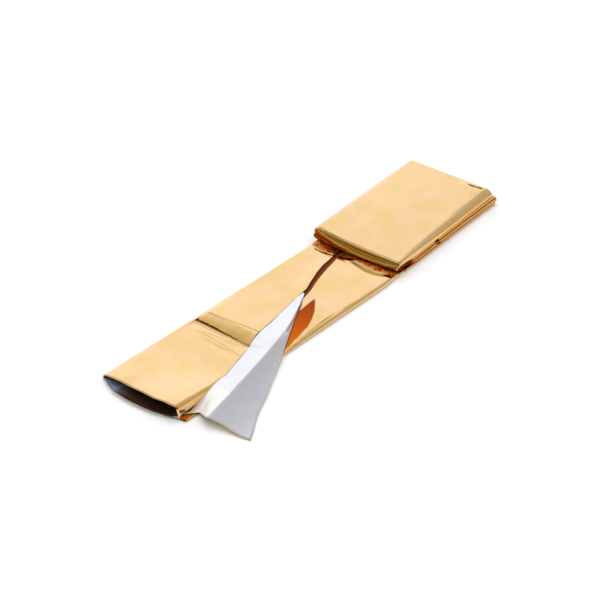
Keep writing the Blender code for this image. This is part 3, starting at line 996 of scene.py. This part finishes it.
    def half(self, level: int, back: Grid, y: Grid) -> Grid:
        """From the middle of a panel to either film; the first panel starts as thin as the strip."""
        low, high = self.span(level, back, y)
        full = (high - low) / 2
        return blend(self.layout.half_gap, full, smooth((back - 6) / 14)) if level == 0 else full

    def fold_back(self, turn: TurnRow, y: Grid) -> Grid:
        """Where a fold lies behind the pack's front, at a place across it."""
        v = np.clip((y + self.layout.half) / self.layout.width, 0, 1)
        return blend(turn.right, turn.left, v) + turn.bow * np.sin(np.pi * v)

    def radius(self, level: int, y: Grid) -> Grid:
        """Radius of the fold above a panel, at the middle of its films."""
        back = self.fold_back(self.turns[level], y)
        return (self.middle(level + 1, back, y) - self.middle(level, back, y)) / 2

    def columns(self) -> tuple[Grid, Grid]:
        """Place across the pack of each column, and its side: -1 lower film, 1 upper film, between round the fold."""
        lay, strip = self.layout, self.strip
        fold_y = -lay.half + lay.ply / 2 + lay.half_gap
        left_y = lay.half - lay.ply / 2
        c, s = half_turn(270, 90, strip.right_steps + 2)
        low_y = np.linspace(left_y, fold_y, strip.low_steps)
        gold_y = np.linspace(fold_y, left_y, strip.gold_steps)
        y = np.concatenate([low_y, fold_y + lay.half_gap * c[1:-1], gold_y])
        side = np.concatenate([np.full(low_y.shape, -1.0), s[1:-1], np.full(gold_y.shape, 1.0)])
        return y, side

    def place(self, back: Grid, y: Grid, z: Grid, shift: Grid | float, turn_deg: float, depth: Grid | float) -> Grid:
        """Put one row of points in the strip's frame, crumpled where the lower folds meet the strip.

        Args:
            back: Distances behind the pack's front.
            y: Places across the pack.
            z: Heights.
            shift: The panel's own shift to the left.
            turn_deg: The panel's own turn in plan.
            depth: How deep the film's painted colour is, where a reflection of itself or shade is painted.

        Returns:
            An array of points, one for each column.
        """
        low = smooth((self.crumple_top - z) / 3) * smooth((10 - back) / 8) * smooth((z - 3.5) / 2)
        size = self.crumple_size
        rough = self.crumple * low * (0.35 + 0.65 * smooth((np.abs(y) - 22) / 14))
        px, py = self.layout.turned(
            self.layout.pack_front + back + rough * 1.6 * waves(y, z, size, 2.2), y + shift, turn_deg
        )
        pz = z + rough * waves(y, z + back, size, 7.7)
        # Each painted part's edge follows from its painted depth: a depth of 0 paints nothing
        return np.stack(np.broadcast_arrays(px, py, pz, np.abs(depth) * 10 - 1.0, depth), 1).astype(float)

    def rows(self) -> list[Grid]:
        """All rows of points through the pack, panel after panel."""
        found = []
        for level in range(self.layout.panels):
            found += self.panel(level)
            if level < self.layout.panels - 1:
                found += self.turn(level)
        return found

    def eased(self, level: int, back: Grid, y: Grid, side: Grid) -> Grid:
        """Offset of each column from the panel's middle, less on the inside of its folds."""
        heading = 1 if level % 2 == 0 else -1
        half = self.half(level, back, y)
        for fold in (level - 1, level):
            if 0 <= fold < self.layout.panels - 1:
                inside = side * heading > 0 if fold == level else side * heading < 0
                away = np.abs(self.fold_back(self.turns[fold], y) - back) - self.radius(fold, y)
                tight = np.minimum(half, self.inner_share * self.radius(fold, y))
                half = np.where(inside, blend(tight, half, smooth(away / 15)), half)
        return side * half * heading

    def panel(self, level: int) -> list[Grid]:
        """Rows along one flat panel."""
        heading = 1 if level % 2 == 0 else -1
        y, side = self.columns()
        first, last = level == 0, level == self.layout.panels - 1
        end = self.turns[level]
        start = end if first else self.turns[level - 1]
        a = y * 0 + 8 if first else self.fold_back(start, y) + heading * self.radius(level - 1, y)
        b = self.fold_back(end, y) - (0 if last else heading * self.radius(level, y))
        shift = self.panels[level].shift
        rows = []
        for u in self.shares(last):
            back = blend(a, b, u)
            z = self.middle(level, back, y) + self.eased(level, back, y, side)
            turn_deg = blend(0 if first else start.turn_deg, end.turn_deg, u)
            # Painted shade: round the right folds, under the pack's front, in a dark band between the middle bundles
            # and in a dark wedge at their front; the top panel has its own painted tones
            depth = self.side_shade(level, side)
            shadow = {0: 0.9, 1: self.front_depth, 2: self.front_depth}.get(level, 0.0)
            shadow = np.where((level == 3) & (side > 0), 0.8, shadow)
            depth = np.maximum(depth, shadow * smooth((12 - back) / 6))
            if level in (2, 3):
                spot = smooth((back - self.spot[0]) / 1.5) * smooth((self.spot[1] - back) / 1.5)
                depth = np.where((spot > 0.5) & (np.abs(side) < 0.999), -1.0, depth)
                wedge = smooth((22 - back) / 5) * (np.abs(side) < 0.999)
                depth = np.where(wedge > 0.3, 0.84, depth)
            if last:
                z = z + dents(self.top_dents, back, y) * (side > 0.5)
                depth = np.where(side > 0.5, self.nose_shade(back, y), depth)
            rows.append(self.place(back, y, z, shift * smooth(back / 30), turn_deg, depth))
        return rows

    def shares(self, last: bool) -> Grid:
        """Shares of a panel's length at which its rows lie, closer together at its folds."""
        steps = self.top_panel_steps if last else self.panel_steps
        even = 0.5 - 0.5 * np.cos(np.pi * np.arange(steps + 1) / steps)
        near = np.linspace(0, self.nose_length / self.layout.pack_length, self.nose_steps)
        return np.unique(np.round(np.concatenate([even, near if last else self.spot_shares]), 5))

    def nose_shade(self, back: Grid, y: Grid) -> Grid:
        """How deep the painted colour is on the top panel: olive painted reflection and dark painted lines at the film
        edges along the pack's front, a painted tone beside its right bevel, and painted shade along its few fold
        lines.
        """
        fold = self.fold_back(self.turns[3], y)
        share = (back - fold) / (np.interp(y, *zip(*self.nose_edge)) - fold)
        lines = np.where(share < 1.02, np.interp(share, *zip(*self.nose_painted_bands)), 0.0)
        beside = y + self.layout.half < np.interp(back, *zip(*self.bevel_right))
        lines = np.where(beside & (share > 1.02), self.side_gold, lines)
        drawn, tone = crease_shades(self.top_crease_shades, back, y)
        return np.where(drawn > 0.4, drawn * tone, lines)

    def side_shade(self, level: int, side: Grid) -> Grid:
        """How deep the painted colour is round a panel's right fold: dark painted lines at the film edges on top, and
        the panel below it as a painted reflection.
        """
        rise = side if level % 2 == 0 else -side
        tones = np.interp(rise, *zip(*self.side_tones[level]))
        return np.where(np.abs(side) < 0.999, tones, 0.0)

    def turn(self, level: int) -> list[Grid]:
        """Rows round the fold from one panel to the next."""
        heading = 1 if level % 2 == 0 else -1
        turn = self.turns[level]
        y, side = self.columns()
        r = self.radius(level, y)
        centre = self.fold_back(turn, y) - heading * r
        before, after = self.middle(level, centre, y), self.middle(level + 1, centre, y)
        rows = []
        for k in range(1, self.turn_steps):
            u = k / self.turn_steps
            angle = math.pi * u - math.pi / 2
            offset = blend(self.eased(level, centre, y, side), -self.eased(level + 1, centre, y, side), smooth(u))
            reach = r - offset
            shift = blend(self.panels[level].shift, self.panels[level + 1].shift, u) * smooth(centre / 30)
            z = (before + after) / 2 + reach * math.sin(angle)
            # Painted shade: the pack's lower front fold is painted dark red; under the top fold's nose it is painted
            # dark red and above that olive, a painted reflection
            under = smooth((0.15 + np.interp(y, *zip(*self.nose_red)) - math.sin(angle)) / 0.5)
            nose = np.where(under > 0.5, self.nose_depth, self.nose_olive)
            depth = {1: self.front_depth, 3: nose}.get(level, 0.0)
            back = centre + heading * reach * math.cos(angle)
            rows.append(self.place(back, y, z, shift, turn.turn_deg, depth))
        return rows


@dataclass
class InnerPlies:
    """Film leaves inside each panel of the pack, seen where its left side is open."""

    pack: Pack
    plies: int = 4
    pitch: float = 0.62
    inset: float = 1.6
    seed: int = 7
    back: tuple[float, float] = (16.0, 158.0)
    across: tuple[float, float] = (26.0, 48.4)
    last_back: tuple[float, float] = (16.0, 164.0)
    last_across: tuple[float, float] = (-40.0, 48.4)
    rows: int = 14
    columns: int = 6

    def leaf(self, level: int, origin: tuple[float, float]) -> bpy.types.Mesh:
        """One leaf in the middle of a panel.

        Args:
            level: The panel, counted up from the bottom.
            origin: Where the strip's frame starts, in metres.

        Returns:
            The leaf, with the film's map and its shades.
        """
        pack = self.pack
        end = pack.turns[level].turn_deg
        start = pack.turns[level - 1].turn_deg if level else 0.0
        last = level == pack.layout.panels - 1
        y = np.linspace(*(self.last_across if last else self.across), self.columns)
        bm = bmesh.new()
        flat = bm.loops.layers.uv.new("film")
        painted_shades = [bm.verts.layers.float.new(name) for name in ("inside_painted_light", "depth")]
        grid = []
        for back in np.linspace(*(self.last_back if last else self.back), self.rows):
            u = back / pack.layout.pack_length
            turn_deg = blend(start, end, u if level % 2 == 0 else 1 - u)
            shift = pack.panels[level].shift * float(smooth(back / 30))
            x, py = pack.layout.turned(pack.layout.pack_front + back + y * 0, y + shift, turn_deg)
            z = pack.middle(level, back + y * 0, y)
            places = zip(x.tolist(), py.tolist(), z.tolist())
            grid.append([bm.verts.new((origin[0] + a * MM, origin[1] + b * MM, c * MM)) for a, b, c in places])
        for vert in bm.verts:
            vert[painted_shades[0]], vert[painted_shades[1]] = PLAIN, 0.0
        for near, far in zip(grid, grid[1:]):
            for k in range(self.columns - 1):
                face = bm.faces.new((near[k], far[k], far[k + 1], near[k + 1]))
                face.smooth = True
                for loop in face.loops:
                    loop[flat].uv = loop.vert.co.xy
        mesh = bpy.data.meshes.new("ply")
        bm.to_mesh(mesh)
        bm.free()
        return mesh

    def tree(self) -> bpy.types.NodeTree:
        """Node tree that stacks a leaf, each copy drawn in a little from the last, by chance but always the same."""
        tree = bpy.data.node_groups.new("stacked plies", "GeometryNodeTree")
        sockets = tree.interface
        sockets.new_socket("Leaf", in_out="INPUT", socket_type="NodeSocketGeometry")
        sockets.new_socket("Plies", in_out="INPUT", socket_type="NodeSocketInt")
        sockets.new_socket("Pitch", in_out="INPUT", socket_type="NodeSocketFloat")
        sockets.new_socket("Inset", in_out="INPUT", socket_type="NodeSocketFloat")
        sockets.new_socket("Seed", in_out="INPUT", socket_type="NodeSocketInt")
        sockets.new_socket("Material", in_out="INPUT", socket_type="NodeSocketMaterial")
        sockets.new_socket("Stack", in_out="OUTPUT", socket_type="NodeSocketGeometry")
        given = add_node(tree, "NodeGroupInput").outputs
        step = add_node(tree, "ShaderNodeCombineXYZ", {}, {"Z": given["Pitch"]}).outputs[0]
        steps = add_node(tree, "ShaderNodeMath", {"operation": "SUBTRACT", 1: 1.0}, {0: given["Plies"]}).outputs[0]
        half = add_node(tree, "ShaderNodeMath", {"operation": "MULTIPLY", 1: -0.5}, {0: steps}).outputs[0]
        low = add_node(tree, "ShaderNodeVectorMath", {"operation": "SCALE"}, {0: step, "Scale": half}).outputs[0]
        line = add_node(tree, "GeometryNodeMeshLine", {}, {"Count": given["Plies"], "Start Location": low, "Offset": step})
        back = add_node(tree, "ShaderNodeMath", {"operation": "MULTIPLY", 1: -1.0}, {0: given["Inset"]}).outputs[0]
        chance = add_node(tree, "FunctionNodeRandomValue", {3: 0.0}, {2: back, "Seed": given["Seed"]}).outputs[1]
        drawn = add_node(tree, "ShaderNodeCombineXYZ", {}, {"Y": chance}).outputs[0]
        moved = add_node(tree, "GeometryNodeSetPosition", {}, {"Geometry": line.outputs["Mesh"], "Offset": drawn})
        copies = add_node(
            tree, "GeometryNodeInstanceOnPoints", {}, {"Points": moved.outputs["Geometry"], "Instance": given["Leaf"]}
        )
        real = add_node(tree, "GeometryNodeRealizeInstances", {}, {"Geometry": copies.outputs["Instances"]})
        dressed = add_node(
            tree, "GeometryNodeSetMaterial", {}, {"Geometry": real.outputs["Geometry"], "Material": given["Material"]}
        )
        add_node(tree, "NodeGroupOutput", {}, {"Stack": dressed.outputs["Geometry"]})
        return tree

    def stack(self, level: int, origin: tuple[float, float], gold: bpy.types.Material, tree: bpy.types.NodeTree) -> bpy.types.Mesh:
        """Stack the leaves of one panel and make them real.

        Args:
            level: The panel, counted up from the bottom.
            origin: Where the strip's frame starts, in metres.
            gold: The material of the film's outer face.
            tree: The node tree that stacks them.

        Returns:
            The stacked leaves.
        """
        carrier = bpy.data.objects.new("plies", self.leaf(level, origin))
        bpy.context.scene.collection.objects.link(carrier)
        stacker = carrier.modifiers.new("stacked plies", "NODES")
        stacker.node_group = tree
        values = {
            "Plies": self.plies, "Pitch": self.pitch * MM, "Inset": self.inset * MM, "Seed": self.seed + level,
            "Material": gold,
        }
        for socket in tree.interface.items_tree:
            if socket.in_out == "INPUT" and socket.name in values:
                stacker[socket.identifier] = values[socket.name]
        mesh = bpy.data.meshes.new_from_object(carrier.evaluated_get(bpy.context.evaluated_depsgraph_get()))
        carrier.modifiers.clear()
        bpy.data.objects.remove(carrier, do_unlink=True)
        return mesh

    def join(self, piece: bpy.types.Object, origin: tuple[float, float]) -> None:
        """Add the leaves of every panel to the film's own mesh."""
        tree = self.tree()
        gold = piece.data.materials[Face.GOLD.value]
        bm = bmesh.new()
        bm.from_mesh(piece.data)
        for level in range(self.pack.layout.panels):
            bm.from_mesh(self.stack(level, origin, gold, tree))
        bm.to_mesh(piece.data)
        bm.free()
        LOG.info("inner plies: %d in each of %d panels", self.plies, self.pack.layout.panels)


@dataclass(frozen=True)
class GoldFilm:
    """Metallised polyester with a yellow lacquer: a bright mirror, slightly clouded by handling."""

    colour: str = "#F0C48C"
    deep_colour: str = "#E6C070"
    # Painted reflection and shade: colour steps for the painted depth, olive to dark brown where painted darker,
    # bright gold then orange to dark brown where the film's own painted reflection lies deeper
    painted_shades: tuple = (
        (-1.0, "#231706"), (-0.8, "#4A3310"), (-0.5, "#8A6426"), (-0.25, "#C29A4A"), (0.0, "#EDC480"), (0.15, "#F5B560"),
        (0.3, "#D8A850"), (0.45, "#D98A2B"), (0.55, "#D26C12"), (0.66, "#B44C0D"), (0.8, "#86380F"), (0.9, "#57280C"),
        (1.0, "#2B1508"),
    )
    painted_highlight_haze: float = 0.0
    roughness: float = 0.08
    crinkle_mm: float = 26.0
    fine_mm: float = 5.0

    def material(self) -> bpy.types.Material:
        """Build the gold face's material."""
        return film_material("gold metallised polyester film", self)


@dataclass(frozen=True)
class SilverFilm:
    """The film's bare aluminium side: a soft grey mirror, more clouded than the gold."""

    colour: str = "#E2E1E7"
    deep_colour: str = "#DCDCE3"
    # Painted light: colour steps for the painted depth, near white where a highlight is painted, grey to dark brown
    # where shade and darker reflections are painted
    painted_shades: tuple = (
        (-1.0, "#F4F0EC"), (-0.5, "#F2EFEE"), (0.0, "#E2E1E7"), (0.3, "#9AA2AE"), (0.42, "#6B727E"), (0.6, "#43464E"),
        (1.0, "#38221A"),
    )
    # Share of the silver that scatters like paper where it is painted lighter, which brightens the painted highlight
    painted_highlight_haze: float = 0.75
    roughness: float = 0.22
    crinkle_mm: float = 22.0
    fine_mm: float = 4.0

    def material(self) -> bpy.types.Material:
        """Build the silver face's material."""
        return film_material("silver metallised polyester film", self)


def film_material(name: str, finish: GoldFilm | SilverFilm) -> bpy.types.Material:
    """A metal film whose pattern follows the cloth's own flat size.

    Args:
        name: The material's name.
        finish: Its colours, roughness and the sizes of its crinkles in millimetres.

    Returns:
        The material.
    """
    material = bpy.data.materials.new(name)
    material.use_nodes = True
    tree = material.node_tree
    tree.nodes.clear()
    # The film's own map is in metres of flat film, so a scale is 1 over a size in metres
    flat = add_node(tree, "ShaderNodeUVMap", {"uv_map": "film"}).outputs["UV"]
    wide = add_node(tree, "ShaderNodeTexNoise", {"Scale": 1 / (finish.crinkle_mm * MM), "Detail": 3.0, "Roughness": 0.45}, {"Vector": flat})
    fine = add_node(tree, "ShaderNodeTexNoise", {"Scale": 1 / (finish.fine_mm * MM), "Detail": 2.0, "Roughness": 0.5}, {"Vector": flat})
    cloud = add_node(tree, "ShaderNodeMapRange", {"From Min": 0.33, "From Max": 0.67}, {"Value": wide.outputs["Fac"]})
    tones = {"data_type": "RGBA", 6: hex_rgb(finish.colour), 7: hex_rgb(finish.deep_colour)}
    tint = add_node(tree, "ShaderNodeMix", tones, {0: cloud.outputs["Result"]})
    rough = add_node(tree, "ShaderNodeMapRange", {"To Min": finish.roughness * 0.7, "To Max": finish.roughness * 1.3}, {"Value": fine.outputs["Fac"]})
    broad = add_node(tree, "ShaderNodeBump", {"Strength": 0.22, "Distance": 0.4 * MM}, {"Height": wide.outputs["Fac"]})
    small = add_node(tree, "ShaderNodeBump", {"Strength": 0.10, "Distance": 0.06 * MM}, {"Height": fine.outputs["Fac"], "Normal": broad.outputs["Normal"]})
    # Painted reflection and shade: where the film would mirror itself in its folds, or mirror darker or brighter
    # surroundings, its colour is painted deeper, darker or lighter step by step
    depth = add_node(tree, "ShaderNodeAttribute", {"attribute_name": "depth"}).outputs["Fac"]
    inside_painted_light = add_node(tree, "ShaderNodeAttribute", {"attribute_name": "inside_painted_light"}).outputs["Fac"]
    inside = add_node(tree, "ShaderNodeMapRange", {"From Min": -SOFT_EDGE, "From Max": SOFT_EDGE}, {"Value": inside_painted_light}).outputs["Result"]
    part = add_node(tree, "ShaderNodeMapRange", {"From Min": -1.0}, {"Value": depth}).outputs["Result"]
    steps = add_node(tree, "ShaderNodeValToRGB", {}, {"Fac": part})
    stops = steps.color_ramp.elements
    stops.remove(stops[0])
    stops[0].position, stops[0].color = 0.0, hex_rgb(finish.painted_shades[0][1])
    for place, code in finish.painted_shades[1:]:
        stops.new((place + 1) / 2).color = hex_rgb(code)
    colour = add_node(tree, "ShaderNodeMix", {"data_type": "RGBA"}, {0: inside, 6: tint.outputs[2], 7: steps.outputs["Color"]})
    # Painted parts lose the clear coat, so no real reflection covers their painted colour
    coat = add_node(tree, "ShaderNodeMapRange", {"To Min": 1.0, "To Max": 0.0}, {"Value": inside}).outputs["Result"]
    # Deep painted parts partly scatter like paper, as light that has bounced many times in a narrow fold comes out
    # evenly in all directions; on the silver, parts painted lighter scatter too, a painted highlight
    even = add_node(tree, "ShaderNodeMapRange", {"From Min": 0.3, "From Max": 0.5, "To Max": 0.65}, {"Value": depth}).outputs["Result"]
    painted_highlight_share = add_node(tree, "ShaderNodeMapRange", {"From Max": -0.5, "To Max": finish.painted_highlight_haze}, {"Value": depth}).outputs["Result"]
    either = add_node(tree, "ShaderNodeMath", {"operation": "MAXIMUM"}, {0: even, 1: painted_highlight_share}).outputs[0]
    share = add_node(tree, "ShaderNodeMath", {"operation": "MULTIPLY"}, {0: either, 1: inside}).outputs[0]
    metal = add_node(tree, "ShaderNodeMath", {"operation": "SUBTRACT", 0: 1.0}, {1: share}).outputs[0]
    shader = add_node(
        tree,
        "ShaderNodeBsdfPrincipled",
        {"Coat Roughness": 0.06, "Coat IOR": 1.6, "Specular IOR Level": 0.0},
        {
            "Metallic": metal,
            "Base Color": colour.outputs[2],
            "Roughness": rough.outputs["Result"],
            "Normal": small.outputs["Normal"],
            "Coat Weight": coat,
        },
    )
    add_node(tree, "ShaderNodeOutputMaterial", {}, {"Surface": shader.outputs["BSDF"]})
    return material


@dataclass
class Blanket:
    """The whole film as one fine sheet over the solid."""

    layout: Layout = field(default_factory=Layout)
    gold: GoldFilm = field(default_factory=GoldFilm)
    silver: SilverFilm = field(default_factory=SilverFilm)
    thickness: float = 0.16

    def origin(self) -> tuple[float, float]:
        """Where the strip's own frame starts, in metres: the solid's mouth and flap tip give it."""
        low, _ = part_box(NODE)
        return low[0] + self.layout.mouth_reach * MM, low[1] + self.layout.flap_reach * MM

    def build(self) -> bpy.types.Object:
        """Build the film, add its inner plies, dress it and give it its thickness.

        Returns:
            The finished piece.
        """
        strip = Strip(self.layout)
        pack = Pack(self.layout, strip)
        wide = [strip.section(float(x)) for x in strip.rows()]
        narrow = pack.rows()
        piece = self.surface(wide, narrow, strip.core_slice)
        for face, finish in ((Face.GOLD, self.gold), (Face.SILVER, self.silver)):
            piece.data.materials.append(finish.material())
            LOG.info("finish %s: %s", face.name.lower(), finish.colour)
        InnerPlies(pack).join(piece, self.origin())
        self.thicken(piece)
        return piece

    def surface(self, wide: list[Grid], narrow: list[Grid], core: slice) -> bpy.types.Object:
        """Make the open gold surface from its rows.

        Args:
            wide: The strip's rows.
            narrow: The pack's rows, which go on from the strip's core columns.
            core: Those columns.

        Returns:
            The open sheet, with its flat size as a UV map.
        """
        bm = bmesh.new()
        flat = bm.loops.layers.uv.new("film")
        painted_shades = [bm.verts.layers.float.new(name) for name in ("inside_painted_light", "depth")]
        place = {}
        x0, y0 = self.origin()

        def lay_row(points: Grid, along: float) -> list[bmesh.types.BMVert]:
            """Add one row of points, and keep each one's place on the flat film."""
            across = np.concatenate([[0], np.cumsum(np.linalg.norm(np.diff(points[:, :3], axis=0), axis=1))])
            row = []
            for p, t in zip(points.tolist(), across.tolist()):
                vert = bm.verts.new((x0 + p[0] * MM, y0 + p[1] * MM, p[2] * MM))
                vert[painted_shades[0]], vert[painted_shades[1]] = p[3], p[4]
                place[vert] = (along * MM, t * MM)
                row.append(vert)
            return row

        def join(near: list[bmesh.types.BMVert], far: list[bmesh.types.BMVert]) -> None:
            """Fill the film between two rows."""
            for k in range(len(near) - 1):
                face = bm.faces.new((near[k], far[k], far[k + 1], near[k + 1]))
                face.smooth = True
                for loop in face.loops:
                    loop[flat].uv = place[loop.vert]

        along = 0.0
        near = lay_row(wide[0], along)
        for before, points in zip(wide, wide[1:]):
            along += float(np.linalg.norm(points[0, :3] - before[0, :3]))
            far = lay_row(points, along)
            join(near, far)
            near = far
        near, before = near[core], wide[-1][core]
        for points in narrow:
            along += float(np.linalg.norm(points[0, :3] - before[0, :3]))
            far = lay_row(points, along)
            join(near, far)
            near, before = far, points
        mesh = bpy.data.meshes.new("foil_sheet")
        bm.to_mesh(mesh)
        bm.free()
        piece = bpy.data.objects.new("foil_sheet", mesh)
        bpy.context.scene.collection.objects.link(piece)
        return piece

    def thicken(self, piece: bpy.types.Object) -> None:
        """Give the film its thickness inwards, with the silver face inside."""
        wall = piece.modifiers.new("film", "SOLIDIFY")
        wall.thickness = self.thickness * MM
        wall.offset = -1.0
        wall.material_offset = Face.SILVER.value
        wall.material_offset_rim = Face.SILVER.value
        mesh = bpy.data.meshes.new_from_object(piece.evaluated_get(bpy.context.evaluated_depsgraph_get()))
        piece.modifiers.clear()
        piece.data = mesh


@dataclass(frozen=True)
class Studio:
    """A plain white table in soft studio light, seen from the photograph's side."""

    azimuth_deg: float = -49.84
    elevation_deg: float = 33.35
    distance: float = 1.786
    lens_mm: float = 115.4
    target: tuple[float, float] = (207.46, -1.08)
    bright_side: tuple[float, float, float] = (0.653, 0.703, 0.281)
    glow: tuple = (
        (0.0, 0.06), (0.25, 0.20), (0.45, 0.50), (0.57, 0.70), (0.66, 0.68), (0.73, 0.62), (0.79, 0.60), (0.925, 0.72),
        (0.955, 1.06), (1.0, 1.22),
    )
    warm: tuple[float, float] = (0.80, 0.46)
    warm_below: float = 0.62
    warm_run: float = 0.14

    def build(self, origin: tuple[float, float]) -> None:
        """Make the floor, the lights, the surroundings and the camera."""
        self.floor()
        self.surroundings()
        self.lights(origin)
        self.camera(origin)

    def direction(self, azimuth_deg: float, elevation_deg: float) -> Vector:
        """Direction from the object towards a viewer or a light."""
        a, e = math.radians(azimuth_deg), math.radians(elevation_deg)
        return Vector((math.sin(a) * math.cos(e), -math.cos(a) * math.cos(e), math.sin(e)))

    def floor(self) -> None:
        """A matt white surface under the object."""
        bpy.ops.mesh.primitive_plane_add(size=8, location=(0, 0, 0))
        table = bpy.context.object
        table.name = "floor"
        paper = bpy.data.materials.new("white paper")
        paper.use_nodes = True
        shader = paper.node_tree.nodes["Principled BSDF"]
        shader.inputs["Base Color"].default_value = hex_rgb("#FAFAFA")
        shader.inputs["Roughness"].default_value = 0.9
        table.data.materials.append(paper)

    def surroundings(self) -> None:
        """Soft surroundings, brighter overhead and darker low down, with plain white behind the object."""
        world = bpy.data.worlds.new("studio")
        bpy.context.scene.world = world
        world.use_nodes = True
        tree = world.node_tree
        tree.nodes.clear()
        way = add_node(tree, "ShaderNodeTexCoord").outputs["Generated"]
        toward = add_node(tree, "ShaderNodeVectorMath", {"operation": "DOT_PRODUCT", 1: self.bright_side}, {0: way})
        place = add_node(tree, "ShaderNodeMapRange", {"From Min": -1.0}, {"Value": toward.outputs["Value"]})
        ramp = add_node(tree, "ShaderNodeValToRGB", {}, {"Fac": place.outputs["Result"]})
        stops = ramp.color_ramp.elements
        stops.remove(stops[0])
        stops[0].position = 0.0
        stops[0].color = (0.10, 0.055, 0.03, 1)
        for position, level in self.glow[1:]:
            cool = float(smooth((position - self.warm_below) / self.warm_run))
            stops.new(position).color = (level, level * blend(self.warm[0], 1.0, cool), level * blend(self.warm[1], 1.02, cool), 1)
        glow = add_node(tree, "ShaderNodeBackground", {"Strength": 1.0}, {"Color": ramp.outputs["Color"]})
        plain = add_node(tree, "ShaderNodeBackground", {"Color": hex_rgb("#FAFAFA"), "Strength": 1.0})
        path = add_node(tree, "ShaderNodeLightPath").outputs
        even = {0: path["Is Camera Ray"], 1: path["Is Diffuse Ray"]}
        seen = add_node(tree, "ShaderNodeMath", {"operation": "MAXIMUM"}, even).outputs[0]
        mixed = add_node(tree, "ShaderNodeMixShader", {}, {0: seen, 1: glow.outputs[0], 2: plain.outputs[0]})
        add_node(tree, "ShaderNodeOutputWorld", {}, {"Surface": mixed.outputs[0]})

    def lights(self, origin: tuple[float, float]) -> None:
        """One large softbox high above the object and a little beyond it, which lights the floor but isn't seen in the
        film's mirror.
        """
        centre = Vector((origin[0] + self.target[0] * MM, origin[1] + self.target[1] * MM, 0))
        lamp = bpy.data.lights.new("top softbox", "AREA")
        lamp.shape = "SQUARE"
        lamp.size = 4.0
        lamp.energy = 40.0
        light = bpy.data.objects.new("top softbox", lamp)
        light.location = centre + Vector((0.8, 0.8, 3.6))
        light.rotation_euler = Vector((0.8, 0.8, 3.6)).to_track_quat("Z", "Y").to_euler()
        light.visible_glossy = False
        bpy.context.scene.collection.objects.link(light)

    def camera(self, origin: tuple[float, float]) -> None:
        """The camera at the photograph's viewing angle."""
        back = self.direction(self.azimuth_deg, self.elevation_deg)
        lens = bpy.data.cameras.new("camera")
        lens.lens = self.lens_mm
        lens.sensor_width = 36
        lens.clip_start = 0.05
        lens.clip_end = 30
        eye = bpy.data.objects.new("camera", lens)
        eye.location = Vector((origin[0] + self.target[0] * MM, origin[1] + self.target[1] * MM, 0)) + back * self.distance
        eye.rotation_euler = back.to_track_quat("Z", "Y").to_euler()
        bpy.context.scene.collection.objects.link(eye)
        bpy.context.scene.camera = eye


def film_area(piece: bpy.types.Object) -> float:
    """Flat area of a thickened sheet in square metres: half its whole surface."""
    return sum(face.area for face in piece.data.polygons) / 2


def main() -> None:
    logging.basicConfig(level=logging.INFO, format="%(name)s: %(message)s")
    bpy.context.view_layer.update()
    blanket = Blanket()
    piece = blanket.build()
    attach(piece, "root")
    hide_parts(NODE)
    LOG.info("%s: %d faces, %.4f square metres", piece.name, len(piece.data.polygons), film_area(piece))
    Studio().build(blanket.origin())
    bpy.context.scene.view_settings.view_transform = "Standard"


if __name__ == "__main__":
    main()
